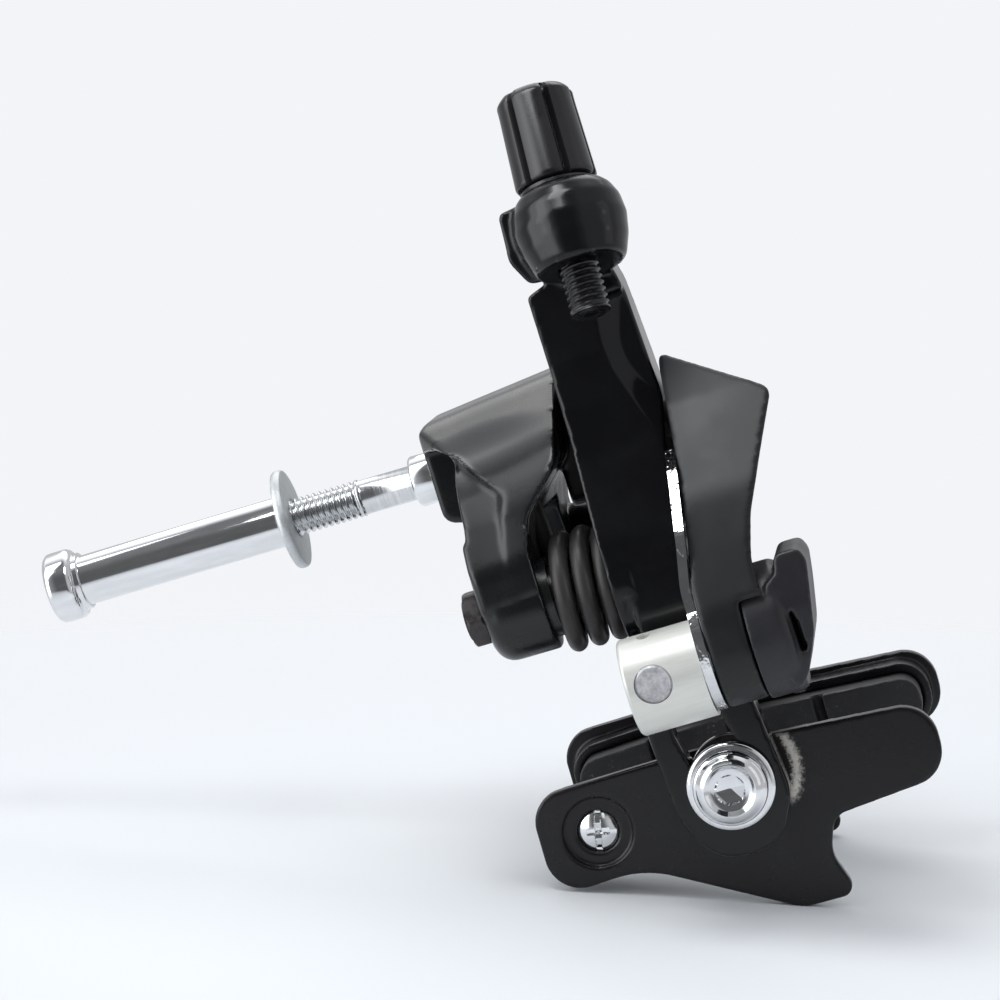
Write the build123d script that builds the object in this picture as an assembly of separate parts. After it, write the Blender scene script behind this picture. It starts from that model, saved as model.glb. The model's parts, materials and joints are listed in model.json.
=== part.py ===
from build123d import *
import math
import os

# Dual pivot rim brake caliper, in millimetres.
# +Y runs along the mounting bolt towards the fork, +Z is up, -X is the cable side.
# The origin lies on the bolt axis, in the plane of the bracket's rear seat.

running_fit = 0.05
rest_gap = 0.15

# Mounting bolt, sleeve nut and washer
bolt_r = 3.0
bolt_shank_r = 2.75
bolt_shank_end = 10.9
bolt_end = 33.0
bolt_head_r = 5.0
bolt_head_long = 4.0
bolt_socket_flats = 5.0
head_recess = 0.2
collar_r = 4.1
collar_front = -1.8
collar_rear = 2.2
washer_y = 22.0
washer_r = 8.0
washer_thick = 1.7
nut_r = 4.0
nut_end = 63.0
nut_head_r = 5.7
nut_head_long = 4.6
nut_neck_r = 4.6
nut_neck_long = 1.0
nut_edge = 0.9
nut_socket_r = 2.9
nut_socket_deep = 6.0

# Pivots, the same on both sides
pivot_x = 27.0
pivot_z = -20.4
pivot_bolt_r = 3.0
pivot_head_r = 5.2
pivot_head_long = 2.4
pivot_socket_flats = 4.0
pivot_nut_flats = 8.0
pivot_nut_long = 2.7
bush_r = 4.0
arm_boss_r = 10.3
skirt_in_r = 9.45
skirt_out_r = 10.6
skirt_rear = -26.8

# Bracket
bracket_depth = 25.0
bracket_top = 10.6
bracket_rise = 0.1
hood_relief = 4.0
brow_x = -11.5
brow_top = 8.6
bracket_shoulder = 9.0
bracket_arch_z = -11.0
bracket_boss_r = 7.8
bracket_leg_rear = -6.6
bracket_leg_front = -16.4
bracket_seat_half = 9.5

# Return spring round the left pivot
spring_wire = 2.9
spring_coil_r = 7.7
spring_pitch = 3.32
spring_turns = 3
spring_leg_up = 16.4
spring_leg_along = 7.0
spring_first_y = -17.95
spacer_thick = 1.2
spacer_wall = 1.6
spring_hole_play = 0.2
spring_pin_r = 1.5

# Arms in depth
arm_rear = -29.2
arm_front = -38.6
front_arm_rear = -40.0
front_arm_back = 0.17
front_arm_fall = 0.19
front_arm_face_x = -41.0
front_arm_steps = ((3.0, 9.8), (2.4, -6.0), (1.3, -15.0), (0.0, -21.6))
boss_front = -46.0

# Adjuster
adjuster_x = -36.0
adjuster_y = -36.4
adjuster_z = 31.5
adjuster_lean = 19.0
ring_r = 8.5
ring_low_r = 7.0
ring_top_r = 6.2
ring_forward = 0.4
ring_below = 5.9
ring_above = 6.4
barrel_r = 3.0
barrel_below = 13.2
barrel_above = 18.5
barrel_bore_r = 1.1
ferrule_r = 2.55
ferrule_deep = 9.0
detent_r = 5.6
detent_thick = 0.5
knob_r = 6.3
knob_top_r = 5.8
knob_long = 15.2
knob_ribs = 6
knob_groove_wide = 1.5
knob_groove_deep = 0.7
knob_groove_foot = 2.2
knob_mouth_r = 3.2
knob_edge = 0.9

# Arm link
link_x = 0.0
roller_r = 3.2
roller_long = 7.0
link_pin_r = 1.6
link_boss_r = 2.9
finger_z = 1.0
finger_high = 7.2
finger_tip_x = 7.5
finger_pad_long = 12.0
finger_pad_wide = 6.0
pad_plate_thick = 1.2
centring_screw_r = 2.0

# Legs, slots and shoes
leg_inner_x = 30.6
leg_thick = 5.8
leg_tilt = 12.7
leg_end_r = 8.9
slot_half = 3.8
slot_below = 2.0
slot_above = 10.0
shoe_y = -35.4
shoe_z = -53.8
holder_inner_x = 19.8
holder_back_x = 27.6
holder_floor_x = 22.8
pad_face_x = 14.0
holder_wall = 1.4
shoe_bolt_r = 3.0
shoe_bolt_head_r = 5.65
shoe_bolt_dish_r = 3.9
shoe_bolt_head_long = 3.2
shoe_bolt_dish_deep = 0.8
shoe_socket_flats = 4.0
outer_washer_r = 6.65
outer_washer_thick = 1.5
seat_washer_r = 6.5
pad_screw_y = -13.0
pad_screw_z = -56.7
pad_screw_r = 3.1
pad_screw_shank_r = 2.0
pad_screw_seat = 2.0
pad_screw_flush = 0.5
pad_recess_r = 5.4
pad_recess_deep = 0.8
pad_groove_places = (-20.0, -33.0, -47.4)
pad_groove_half = 0.8
pad_groove_deep = 2.2
pad_play = 0.1
guide_set_back = 3.0

# Cable anchor and quick release
anchor_x = -49.0
lever_z = -31.2
eccentric = 2.8
block_r = 7.2
block_rear = -26.7
block_front = -38.2
plate_thick = 1.4
anchor_boss_r = 9.4
lever_r = 9.8
lever_rear = -46.2
lever_front = -52.2
lever_tip_y = -57.0
shaft_r = 4.0
crank_r = 3.0
journal_end = -33.8
clamp_bolt_r = 2.75
clamp_y = -30.9
clamp_up = 0.6
clamp_socket_flats = 3.0
cable_r = 1.0
cable_x = -50.5
stop_pin_r = 0.8
stop_pin_x = 5.5
stop_pin_reach = 2.6
stop_pin_short = 1.4

# Places that follow from the sizes above
leg_outer_x = leg_inner_x + leg_thick
leg_root_x = -pivot_x - arm_boss_r
slot_dir = (math.sin(math.radians(leg_tilt)), math.cos(math.radians(leg_tilt)))
adjuster_axis = Plane(
    origin=(adjuster_x, adjuster_y, adjuster_z),
    x_dir=(math.cos(math.radians(adjuster_lean)), 0, -math.sin(math.radians(adjuster_lean))),
    z_dir=(math.sin(math.radians(adjuster_lean)), 0, math.cos(math.radians(adjuster_lean))),
)


def rounded(points, radii):
    """Closed face whose corners are rounded by the radii, in the plane's own x and y."""
    return make_face(FilletPolyline(*points, radius=radii, close=True))


def slab_y(face, y_low, y_high):
    """Face drawn in x and z, as a slab between two y planes."""
    return Pos(0, y_low, 0) * extrude(Plane.XZ * face, amount=y_high - y_low, dir=(0, 1, 0))


def slab_x(face, x_low, x_high):
    """Face drawn in y and z, as a slab between two x planes."""
    return Pos(x_low, 0, 0) * extrude(Plane.YZ * face, amount=x_high - x_low, dir=(1, 0, 0))


def slab_z(face, z_low, z_high):
    """Face drawn in x and y, as a slab between two z planes."""
    return Pos(0, 0, z_low) * extrude(face, amount=z_high - z_low, dir=(0, 0, 1))


def rod_y(radius, y_low, y_high, x=0.0, z=0.0):
    long = y_high - y_low
    return Pos(x, (y_low + y_high) / 2, z) * Rot(90, 0, 0) * Cylinder(radius, long)


def rod_x(radius, x_low, x_high, y=0.0, z=0.0):
    long = x_high - x_low
    return Pos((x_low + x_high) / 2, y, z) * Rot(0, 90, 0) * Cylinder(radius, long)


def hex_y(flats, y_low, y_high, x=0.0, z=0.0):
    """Hexagonal prism along y, given by the distance across its flats."""
    face = Pos(x, z) * RegularPolygon(flats / 2, 6, major_radius=False)
    return slab_y(face, y_low, y_high)


def hex_x(flats, x_low, x_high, y=0.0, z=0.0):
    face = Pos(y, z) * RegularPolygon(flats / 2, 6, major_radius=False)
    return slab_x(face, x_low, x_high)


def make_bracket():
    """Forged bracket: a deep hood over the bolt, with a leg down to each pivot."""
    seat = bracket_seat_half
    boss = bracket_boss_r
    front_view = rounded(
        [
            (-bracket_shoulder, bracket_top - 2),
            (bracket_shoulder, bracket_top - 2),
            (pivot_x, 0.0),
            (pivot_x + boss, pivot_z + 6),
            (pivot_x + boss, pivot_z),
            (pivot_x - boss, pivot_z),
            (pivot_x - boss - 4, bracket_arch_z),
            (-pivot_x + boss + 4, bracket_arch_z),
            (-pivot_x + boss, pivot_z),
            (-pivot_x - boss, pivot_z),
            (-pivot_x - boss, pivot_z + 6),
            (-pivot_x, 0.0),
        ],
        [14, 14, 14, 6, 1, 1, 4, 4, 1, 1, 6, 14],
    )
    side_view = rounded(
        [
            (collar_front, -7.2),
            (collar_front, bracket_top - 2 + bracket_rise),
            (-bracket_depth, bracket_top + 0.4 + bracket_rise),
            (-bracket_depth + 1.2, -1.0),
            (bracket_leg_front - 1.2, -7.5),
            (bracket_leg_front, -12.0),
            (bracket_leg_front, pivot_z - boss - 2),
            (bracket_leg_rear, pivot_z - boss - 2),
            (bracket_leg_rear, -7.6),
        ],
        [2.4, 2.6, 1.0, 5, 3, 3, 1, 1, 3],
    )
    top_view = rounded(
        [
            (-seat, collar_front),
            (seat, collar_front),
            (seat + 10, bracket_leg_rear),
            (pivot_x + boss + 1, bracket_leg_rear),
            (pivot_x + boss + 1, -bracket_depth),
            (-pivot_x - boss - 1, -bracket_depth),
            (-pivot_x - boss - 1, bracket_leg_rear),
            (-seat - 10, bracket_leg_rear),
        ],
        [6, 6, 7, 3, 3, 3, 3, 7],
    )
    slope = 2.4 / (bracket_depth + collar_front)
    profile = extrude(Pos(0, 0, 0) * Plane.XZ * front_view, amount=30, dir=(0, -1, slope))
    profile = Pos(0, collar_front + 2, -2 * slope) * profile
    hood = profile & slab_x(side_view, -60, 60)
    hood = hood & slab_z(top_view, -60, 60)
    left_boss = rod_y(boss, bracket_leg_front, bracket_leg_rear, -pivot_x, pivot_z)
    right_boss = rod_y(boss, arm_rear + rest_gap, bracket_leg_rear, pivot_x, pivot_z)
    left_boss = fillet(left_boss.edges().filter_by(GeomType.CIRCLE).sort_by(Axis.Y)[-1:], 3.0)
    right_boss = fillet(right_boss.edges().filter_by(GeomType.CIRCLE).sort_by(Axis.Y)[-1:], 3.0)
    for side in (-1, 1):
        hood -= hood_relief_cut(profile, side)
    body = hood + make_brow() + left_boss + right_boss
    body -= rod_y(bolt_r + running_fit, arm_rear, 1)
    body -= rod_y(bolt_head_r + running_fit, arm_rear, bolt_head_long - bracket_depth)
    for side in (-1, 1):
        body -= rod_y(pivot_bolt_r + running_fit, arm_rear - 1, 1, side * pivot_x, pivot_z)
    first, first_dir = spring_point(0)
    leg_axis = Plane(origin=first - first_dir * (spring_leg_up + spring_hole_play), z_dir=first_dir)
    return body - leg_axis * Pos(0, 0, 8) * Cylinder(spring_wire / 2 + spring_hole_play, 16)


def make_brow():
    """Forward part of the bracket beside the adjuster arm, up to the plane of the arms."""
    outline = rounded(
        [
            (brow_x, bracket_arch_z + 1),
            (brow_x, brow_top),
            (12.0, brow_top),
            (pivot_x, -1.0),
            (pivot_x + 6.0, pivot_z + 7),
            (pivot_x + 6.0, pivot_z),
            (pivot_x - 6.0, pivot_z),
            (16.0, bracket_arch_z + 1),
        ],
        [2, 3, 12, 8, 5, 1, 1, 3],
    )
    return slab_y(outline, arm_rear + rest_gap, 3 - bracket_depth)


def hood_relief_cut(profile, side):
    """Shallow hollow on a flank of the hood, over the root of the leg and beside the bolt's lobe."""
    turn_x = side * (pivot_x + bracket_boss_r)
    turn_z = pivot_z + 6
    inner = Pos(turn_x, 0, turn_z) * Rot(0, -side * hood_relief, 0) * Pos(-turn_x, 0, -turn_z) * profile
    hollow = rounded(
        [(-5.0, 4.6), (-8.5, 3.4), (-14.3, -2.9), (-13.4, -6.5), (-12.6, -15.0), (-5.0, -15.0)],
        [0.5, 2, 1.5, 3, 2, 0.5],
    )
    flank = slab_x(hollow, *across(side, bracket_seat_half, 60)) - inner
    notch = rounded([(2.0, 4.6), (-5.4, 4.6), (-7.4, 2.6), (-7.4, -9.0), (2.0, -9.0)], [0.5, 1, 1, 1, 0.5])
    return flank + slab_x(notch, *across(side, bracket_seat_half, 60))


def make_mounting_bolt():
    """Bolt with a socket head in the bracket, a thinner shank and a threaded end."""
    head = rod_y(bolt_head_r, -bracket_depth + head_recess, bolt_head_long - bracket_depth)
    body = head + rod_y(bolt_r, bolt_head_long - bracket_depth, collar_rear)
    body += rod_y(bolt_shank_r, collar_rear, bolt_shank_end)
    body += rod_y(bolt_r, bolt_shank_end, bolt_end)
    body -= hex_y(bolt_socket_flats, -bracket_depth, -bracket_depth + 3.0)
    end_edge = body.edges().filter_by(GeomType.CIRCLE).sort_by(Axis.Y)[-1]
    return chamfer(end_edge, 0.7)


def make_seat_collar():
    body = rod_y(collar_r, collar_front, collar_rear)
    body -= rod_y(bolt_r + running_fit, collar_front - 1, collar_rear + 1)
    return chamfer(body.edges().group_by(Axis.Y)[-1], 0.35)


def make_sleeve_nut():
    """Long round nut: bored for the thread, with a stepped head and a socket in its end."""
    start = washer_y + washer_thick
    head_start = nut_end - nut_head_long
    body = rod_y(nut_r, start, nut_end)
    body += rod_y(nut_neck_r, head_start - nut_neck_long, head_start)
    head = rod_y(nut_head_r, head_start, nut_end)
    body += chamfer(head.edges().filter_by(GeomType.CIRCLE), nut_edge)
    body -= rod_y(bolt_r + running_fit, start - 1, bolt_end + 4)
    return body - hex_y(2 * nut_socket_r, nut_end - nut_socket_deep, nut_end + 1)


def make_fork_washer():
    body = rod_y(washer_r, washer_y, washer_y + washer_thick)
    body -= rod_y(bolt_r + running_fit, washer_y - 1, washer_y + washer_thick + 1)
    rims = body.edges().filter_by(GeomType.CIRCLE).group_by(SortBy.RADIUS)[-1]
    return fillet(rims, 0.4)


def make_pivot_bolt(side):
    """Shouldered bolt with a low round head in the arm's front face."""
    x = side * pivot_x
    head = rod_y(pivot_head_r, arm_front + head_recess, arm_front + head_recess + pivot_head_long, x, pivot_z)
    body = head + rod_y(pivot_bolt_r, arm_front + 1, bracket_leg_rear + pivot_nut_long + 0.4, x, pivot_z)
    return body - hex_y(pivot_socket_flats, arm_front, arm_front + 1.8, x, pivot_z)


def make_pivot_nut(side):
    x = side * pivot_x
    rear = bracket_leg_rear + pivot_nut_long
    body = hex_y(pivot_nut_flats, bracket_leg_rear, rear, x, pivot_z)
    corners = rod_y(pivot_nut_flats * 0.56, bracket_leg_rear, rear, x, pivot_z)
    body = body & chamfer(corners.edges().filter_by(GeomType.CIRCLE), 0.4)
    return body - rod_y(pivot_bolt_r + running_fit, bracket_leg_rear - 1, rear + 1, x, pivot_z)


def make_pivot_bush(side):
    x = side * pivot_x
    inner = arm_front + head_recess + pivot_head_long + running_fit
    body = rod_y(bush_r, inner, arm_rear, x, pivot_z)
    return body - rod_y(pivot_bolt_r + running_fit, inner - 1, arm_rear + 1, x, pivot_z)


def make_spring_spacer():
    """Flanged sleeve that holds the coil off the pivot bolt."""
    sleeve_r = pivot_bolt_r + running_fit + spacer_wall
    front = arm_rear + rest_gap
    flange_r = spring_coil_r - spring_wire / 2 - rest_gap
    body = rod_y(flange_r, bracket_leg_front - spacer_thick, bracket_leg_front, -pivot_x, pivot_z)
    body += rod_y(sleeve_r, front, bracket_leg_front, -pivot_x, pivot_z)
    return body - rod_y(pivot_bolt_r + running_fit, front - 1, 0, -pivot_x, pivot_z)


def spring_point(turn):
    """Point and direction on the coil after so many turns from the inner side."""
    angle = 2 * math.pi * turn
    speed = 2 * math.pi * spring_coil_r
    point = Vector(
        -pivot_x + spring_coil_r * math.cos(angle),
        spring_first_y - spring_pitch * turn,
        pivot_z - spring_coil_r * math.sin(angle),
    )
    direction = Vector(-speed * math.sin(angle), -spring_pitch, -speed * math.cos(angle))
    return point, direction.normalized()


def biarc(start, start_dir, end, end_dir):
    """Two tangent arcs from one point and direction to another."""
    chord = end - start
    along = start_dir + end_dir
    bend = 2 * (1 - start_dir.dot(end_dir))
    reach = (math.sqrt(chord.dot(along) ** 2 + bend * chord.dot(chord)) - chord.dot(along)) / bend
    middle = (start + start_dir * reach + end - end_dir * reach) * 0.5
    first = Edge.make_tangent_arc(start, start_dir, middle)
    return [first, Edge.make_tangent_arc(middle, first % 1, end)]


def make_return_spring():
    """Coil of round wire, with a straight leg up to the bracket and one along the arm."""
    quarters = 4 * spring_turns - 1
    stops = [spring_point(step / 4) for step in range(quarters + 1)]
    first, first_dir = stops[0]
    last, last_dir = stops[-1]
    path = [Edge.make_line(first - first_dir * spring_leg_up, first)]
    for (start, start_dir), (end, end_dir) in zip(stops, stops[1:]):
        path += biarc(start, start_dir, end, end_dir)
    path.append(Edge.make_line(last, last + last_dir * spring_leg_along))
    wire = Wire(path)
    profile = Plane(origin=wire @ 0, z_dir=wire % 0) * Circle(spring_wire / 2)
    print("spring: least gap to itself", round(spring_gap(), 3))
    return sweep(profile, path=wire)


def spring_gap():
    """Least distance between points a whole turn apart on the coil, less the wire."""
    steps = 24
    points = [spring_point(step / steps)[0] for step in range(steps * spring_turns)]
    gaps = []
    for first, point in enumerate(points):
        for other in points[first + steps // 2:]:
            gaps.append((point - other).length - spring_wire)
    return min(gaps)


def make_leg(side):
    """Slotted leg that carries a shoe, in the plane of the rim."""
    slope = math.tan(math.radians(leg_tilt))
    outline = rounded(
        [
            (-24.6, -29.5),
            (-26.0, -50.0),
            (shoe_y + leg_end_r, shoe_z - 3.0),
            (shoe_y + 5.5, shoe_z - 10.7),
            (shoe_y - 4.5, shoe_z - 10.9),
            (shoe_y - leg_end_r + 0.6, shoe_z - 3.5),
            (shoe_y - leg_end_r + 2.0, -43.0),
            (arm_front, -27.0),
            (arm_front, -16.0),
            (-30.0, -16.0),
            (-30.0, -29.5),
        ],
        [2.5, 20, 8, 7.0, 6.5, 8, 20, 8, 1, 1, 1],
    )
    low = leg_inner_x if side > 0 else -leg_outer_x
    body = slab_x(outline, low, low + leg_thick)
    top = (shoe_y + slot_above * slope * math.cos(math.radians(leg_tilt)), shoe_z + slot_above * slot_dir[1])
    bottom = (shoe_y - slot_below * slot_dir[0], shoe_z - slot_below * slot_dir[1])
    middle = Pos((top[0] + bottom[0]) / 2, (top[1] + bottom[1]) / 2)
    slot_face = middle * Rot(0, 0, 90 - leg_tilt) * SlotCenterToCenter(slot_above + slot_below, 2 * slot_half)
    return body - slab_x(slot_face, low - 1, low + leg_thick + 1)


def pivot_cuts(side):
    """Bores for the bush and the bolt head through an arm's pivot boss."""
    x = side * pivot_x
    head_seat = arm_front + head_recess + pivot_head_long + running_fit
    return rod_y(bush_r + running_fit, arm_front - 20, arm_rear + 5, x, pivot_z) + rod_y(
        pivot_head_r + 0.2, arm_front - 20, head_seat, x, pivot_z
    )


def make_adjuster_arm():
    """Arm on the cable side: ring eye, blade, pivot boss, finger over the roller and slotted leg."""
    blade_view = rounded(
        [
            (-32.5, 27.0),
            (-30.8, 12.0),
            (-31.8, 0.0),
            (-pivot_x - arm_boss_r, pivot_z + 6),
            (-pivot_x - arm_boss_r, pivot_z),
            (-pivot_x + arm_boss_r, pivot_z),
            (-16.0, -10.0),
            (-18.5, 2.0),
            (-19.5, 14.0),
            (-22.5, 27.0),
            (-25.0, 34.0),
        ],
        [1, 14, 12, 5, 1, 1, 8, 10, 14, 8, 3],
    )
    finger_view = rounded(
        [
            (-26.0, -12.0),
            (-17.0, -10.0),
            (-9.0, finger_z),
            (finger_tip_x, finger_z),
            (finger_tip_x, finger_z + finger_high),
            (-13.0, finger_z + finger_high),
            (-20.0, 15.0),
            (-26.0, 12.0),
        ],
        [1, 6, 5, 2, 3, 8, 3, 1],
    )
    side_view = rounded(
        [
            (-31.6, 36.5),
            (-31.4, 25.4),
            (skirt_rear - 0.2, 23.8),
            (skirt_rear, pivot_z + skirt_in_r + 0.6),
            (arm_rear, pivot_z + skirt_in_r + 0.6),
            (arm_rear, pivot_z - 20),
            (arm_front, pivot_z - 20),
            (arm_front, -16.0),
            (-40.2, -4.0),
            (-41.8, 4.0),
            (-41.0, 22.0),
            (-38.0, 36.5),
        ],
        [1, 1, 0.8, 0.5, 0.5, 1, 1, 20, 20, 10, 8, 3],
    )
    body = slab_y(blade_view, -60, 0) & slab_x(side_view, -60, 30)
    body -= blade_scoop()
    body += slab_y(finger_view, arm_front, arm_rear)
    skirt = rod_y(skirt_out_r, arm_rear - 1, skirt_rear, -pivot_x, pivot_z)
    wall = Pos(-32, pivot_z + 10) * Rectangle(20, 20)
    skirt += slab_y(blade_view & wall, arm_rear - 1, skirt_rear)
    skirt -= rod_y(skirt_in_r, arm_rear - 2, skirt_rear + 1, -pivot_x, pivot_z)
    body += skirt & Pos(-pivot_x - 24.5, 0, pivot_z) * Box(40, 100, 60)
    body += rod_y(arm_boss_r, arm_front, arm_rear, -pivot_x, pivot_z)
    body += make_leg(-1)
    flank = Polyline(
        (leg_root_x, pivot_z),
        (leg_root_x, pivot_z - 6.0),
        (-leg_outer_x, pivot_z - 12.0),
        (-leg_inner_x, pivot_z - 12.0),
        (-leg_inner_x, pivot_z),
        close=True,
    )
    body += slab_y(make_face(flank), arm_front, arm_rear)
    profile = Polyline(
        (0, -ring_below),
        (ring_low_r - 0.6, -ring_below),
        (ring_low_r, -ring_below + 0.7),
        (ring_r - 0.5, -ring_below + 3.6),
        (ring_r, -ring_below + 6.6),
        (ring_r - 0.3, ring_above - 3.0),
        (ring_r - 1.2, ring_above - 1.1),
        (ring_top_r, ring_above),
        (0, ring_above),
        close=True,
    )
    ring = adjuster_axis * Pos(0, -ring_forward, 0) * revolve(Plane.XZ * make_face(profile), axis=Axis.Z)
    fin = rounded(
        [(-26.9, 36.8), (-30.0, 37.2), (-33.5, 33.0), (-33.5, 25.4), (-28.4, 25.6), (-26.4, 29.5)],
        [0.9, 0.8, 1, 1, 1.6, 3],
    )
    body += ring + slab_x(fin, -35.5, -31.0)
    body -= adjuster_axis * Cylinder(barrel_r + running_fit, 60)
    body -= pivot_cuts(-1)
    middle = Pos(finger_pad_x(), (arm_rear + arm_front) / 2, finger_z)
    body -= middle * Box(finger_pad_long, finger_pad_wide, 2 * pad_plate_thick)
    body -= middle * Cylinder(centring_screw_r + running_fit, 3 * finger_high)
    return body + rod_y(spring_pin_r, arm_rear - 0.5, spring_end().Y + 0.6, *spring_pin_place())


def blade_scoop():
    """Long scoop along the blade's front corner, with an S-shaped edge on the near face."""
    edge = rounded(
        [
            (-36.2, 21.0),
            (-33.4, 12.0),
            (-37.6, 3.0),
            (-40.8, -2.6),
            (-45.0, -9.0),
            (-60.0, -9.0),
            (-60.0, 21.0),
        ],
        [3, 9, 12, 8, 1, 1, 1],
    )
    slant = 1.6
    return Pos(-40.0, 8 * slant, 0) * extrude(Plane.YZ * edge, amount=20, dir=(1, -slant, 0))


def spring_end():
    """Middle of the spring's front leg, near its tip."""
    last, last_dir = spring_point(spring_turns - 0.25)
    return last + last_dir * (spring_leg_along - 2.0)


def spring_pin_place():
    """Place of the pin that the spring's front leg bears on, just under that leg."""
    end = spring_end()
    return end.X, end.Z - spring_wire / 2 - spring_pin_r - rest_gap


def finger_pad_x():
    return finger_tip_x - finger_pad_long / 2 - 2.5


def make_cam_pad():
    """Hardened plate let into the finger, where the roller bears."""
    place = Pos(finger_pad_x(), (arm_rear + arm_front) / 2, finger_z + pad_plate_thick / 2)
    long = finger_pad_long - 2 * running_fit
    wide = finger_pad_wide - 2 * running_fit
    return place * Box(long, wide, pad_plate_thick)


def make_centring_screw():
    """Grub screw through the finger that sets the cam pad down on the roller."""
    low = finger_z + pad_plate_thick
    high = finger_z + finger_high + 0.8
    place = Pos(finger_pad_x(), (arm_rear + arm_front) / 2, (low + high) / 2)
    body = place * Cylinder(centring_screw_r, high - low)
    socket = Pos(finger_pad_x(), (arm_rear + arm_front) / 2) * RegularPolygon(1.0, 6, major_radius=False)
    return body - slab_z(socket, high - 2.0, high + 1)


def make_adjusting_barrel():
    """Hollow screw that takes the housing's end and guides the inner wire."""
    body = Pos(0, 0, (barrel_above - barrel_below) / 2) * Cylinder(barrel_r, barrel_above + barrel_below)
    body -= Cylinder(barrel_bore_r, 80)
    body -= Pos(0, 0, barrel_above - ferrule_deep / 2) * Cylinder(ferrule_r, ferrule_deep)
    ends = body.edges().filter_by(GeomType.CIRCLE).sort_by(Axis.Z)
    lower = [edge for edge in ends if edge.radius > barrel_r - 0.01][:1]
    return adjuster_axis * chamfer(lower, 0.5)


def make_detent_washer():
    body = Pos(0, 0, ring_above + detent_thick / 2) * Cylinder(detent_r, detent_thick)
    return adjuster_axis * (body - Cylinder(barrel_r + running_fit, 60))


def make_adjusting_knob():
    """Ribbed nut that turns on the hollow screw."""
    low = ring_above + detent_thick
    high = low + knob_long
    profile = Polyline(
        (0, low),
        (knob_r - 0.7, low),
        (knob_r, low + 1.2),
        (knob_top_r, high - 3 * knob_edge),
        (knob_top_r - knob_edge, high),
        (0, high),
        close=True,
    )
    body = revolve(Plane.XZ * make_face(profile), axis=Axis.Z)
    for rib in range(knob_ribs):
        turn = Rot(0, 0, 360 * rib / knob_ribs)
        groove = Box(2 * knob_groove_deep, knob_groove_wide, knob_long)
        body -= turn * Pos(knob_r, 0, (low + high) / 2 + knob_groove_foot) * groove
    body -= Cylinder(barrel_r + running_fit, 80)
    body -= Pos(0, 0, high - 2) * Cylinder(knob_mouth_r, 5)
    return adjuster_axis * body


def make_front_arm():
    """Outer arm: pivots on the far side, sweeps over the front and ends in the anchor boss."""
    boss_x = anchor_x
    sweep_view = rounded(
        [
            (pivot_x + arm_boss_r, pivot_z),
            (pivot_x + arm_boss_r, -14.0),
            (22.0, -5.0),
            (2.0, 4.4),
            (-14.0, 8.2),
            (-29.0, 14.0),
            (-33.4, 9.2),
            (-40.0, 3.0),
            (-50.0, -10.0),
            (boss_x - anchor_boss_r, -26.0),
            (boss_x - anchor_boss_r, lever_z),
            (boss_x + anchor_boss_r, lever_z),
            (boss_x + anchor_boss_r, -27.0),
            (-33.0, -12.0),
            (-20.0, -5.5),
            (0.0, -8.5),
            (12.0, -12.0),
            (pivot_x - arm_boss_r, pivot_z),
        ],
        [1, 6, 14, 20, 14, 1.5, 3, 12, 20, 8, 1, 1, 6, 10, 12, 30, 8, 1],
    )
    face_view = rounded(
        [
            (-22.0, -50.0),
            (-47.4, -50.0),
            (-47.0, -23.0),
            (-49.3, -16.0),
            (-53.6, -7.5),
            (-58.4, 1.6),
            (-44.6, 12.5),
            (-22.0, 28.0),
        ],
        [1, 1, 10, 12, 14, 1.8, 1.6, 1],
    )
    rear_view = rounded(
        [
            *rear_edge(0.0),
            (front_arm_rear, -50.0),
            (-80.0, -50.0),
            (-80.0, 27.6),
        ],
        [1.2, 20, 20, 12, 1, 1, 1],
    )
    top_view = rounded(
        [
            (-62.0, front_arm_rear + 1),
            (9.0, front_arm_rear + 1),
            (13.0, arm_rear),
            (40.0, arm_rear),
            (40.0, -70.0),
            (-62.0, -70.0),
        ],
        [1, 3, 3, 1, 1, 1],
    )
    lean = (1, front_arm_back, -front_arm_fall)
    start = front_arm_face_x - 70
    shear = Pos(start, -70 * front_arm_back, 70 * front_arm_fall)
    front = shear * extrude(Plane.YZ * face_view, amount=60 - start, dir=lean)
    rear = slab_x(rear_view, -70, 12) + slab_x(Pos(-55, -10) * Rectangle(50 - 2 * rest_gap, 80), 12, 70)
    sweep_solid = slab_y(sweep_view, -70, 0)
    body = sweep_solid & front & rear & slab_z(top_view, -80, 60)
    body += rod_y(arm_boss_r, arm_front, arm_rear, pivot_x, pivot_z)
    body += make_leg(1)
    body += rod_y(anchor_boss_r, boss_front, front_arm_rear, boss_x, lever_z)
    body += rod_y(link_boss_r, front_arm_rear - 3.0, front_link_face(), link_x, link_z())
    body -= rod_y(lever_r + 0.8, -70, boss_front, boss_x, lever_z)
    body -= rod_y(shaft_r + running_fit, -70, 0, boss_x, lever_z)
    body -= rod_y(link_pin_r + running_fit, -49, 0, link_x, link_z())
    body -= pivot_cuts(1)
    stop = stop_pin_place()
    return body - rod_y(stop_pin_r + running_fit, -52, 0, *stop)


def rear_edge(shift):
    """Corners of the front arm's rear edge in y and z, from the top down, moved back by a shift."""
    return [(front_arm_rear + shift - forward, z) for forward, z in front_arm_steps]


def front_link_face():
    """Plane in front of the roller where the front arm's small boss ends."""
    return (arm_rear + arm_front) / 2 - roller_long / 2 - rest_gap


def link_z():
    return finger_z - roller_r - running_fit


def stop_pin_place():
    return anchor_x + stop_pin_x, lever_z + lever_r + 2 * stop_pin_r


def make_link_roller():
    middle = (arm_rear + arm_front) / 2
    low = middle - roller_long / 2
    high = middle + roller_long / 2
    body = rod_y(roller_r, low, high, link_x, link_z())
    body = chamfer(body.edges().filter_by(GeomType.CIRCLE), 0.3)
    return body - rod_y(link_pin_r + running_fit, low - 1, high + 1, link_x, link_z())


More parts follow.
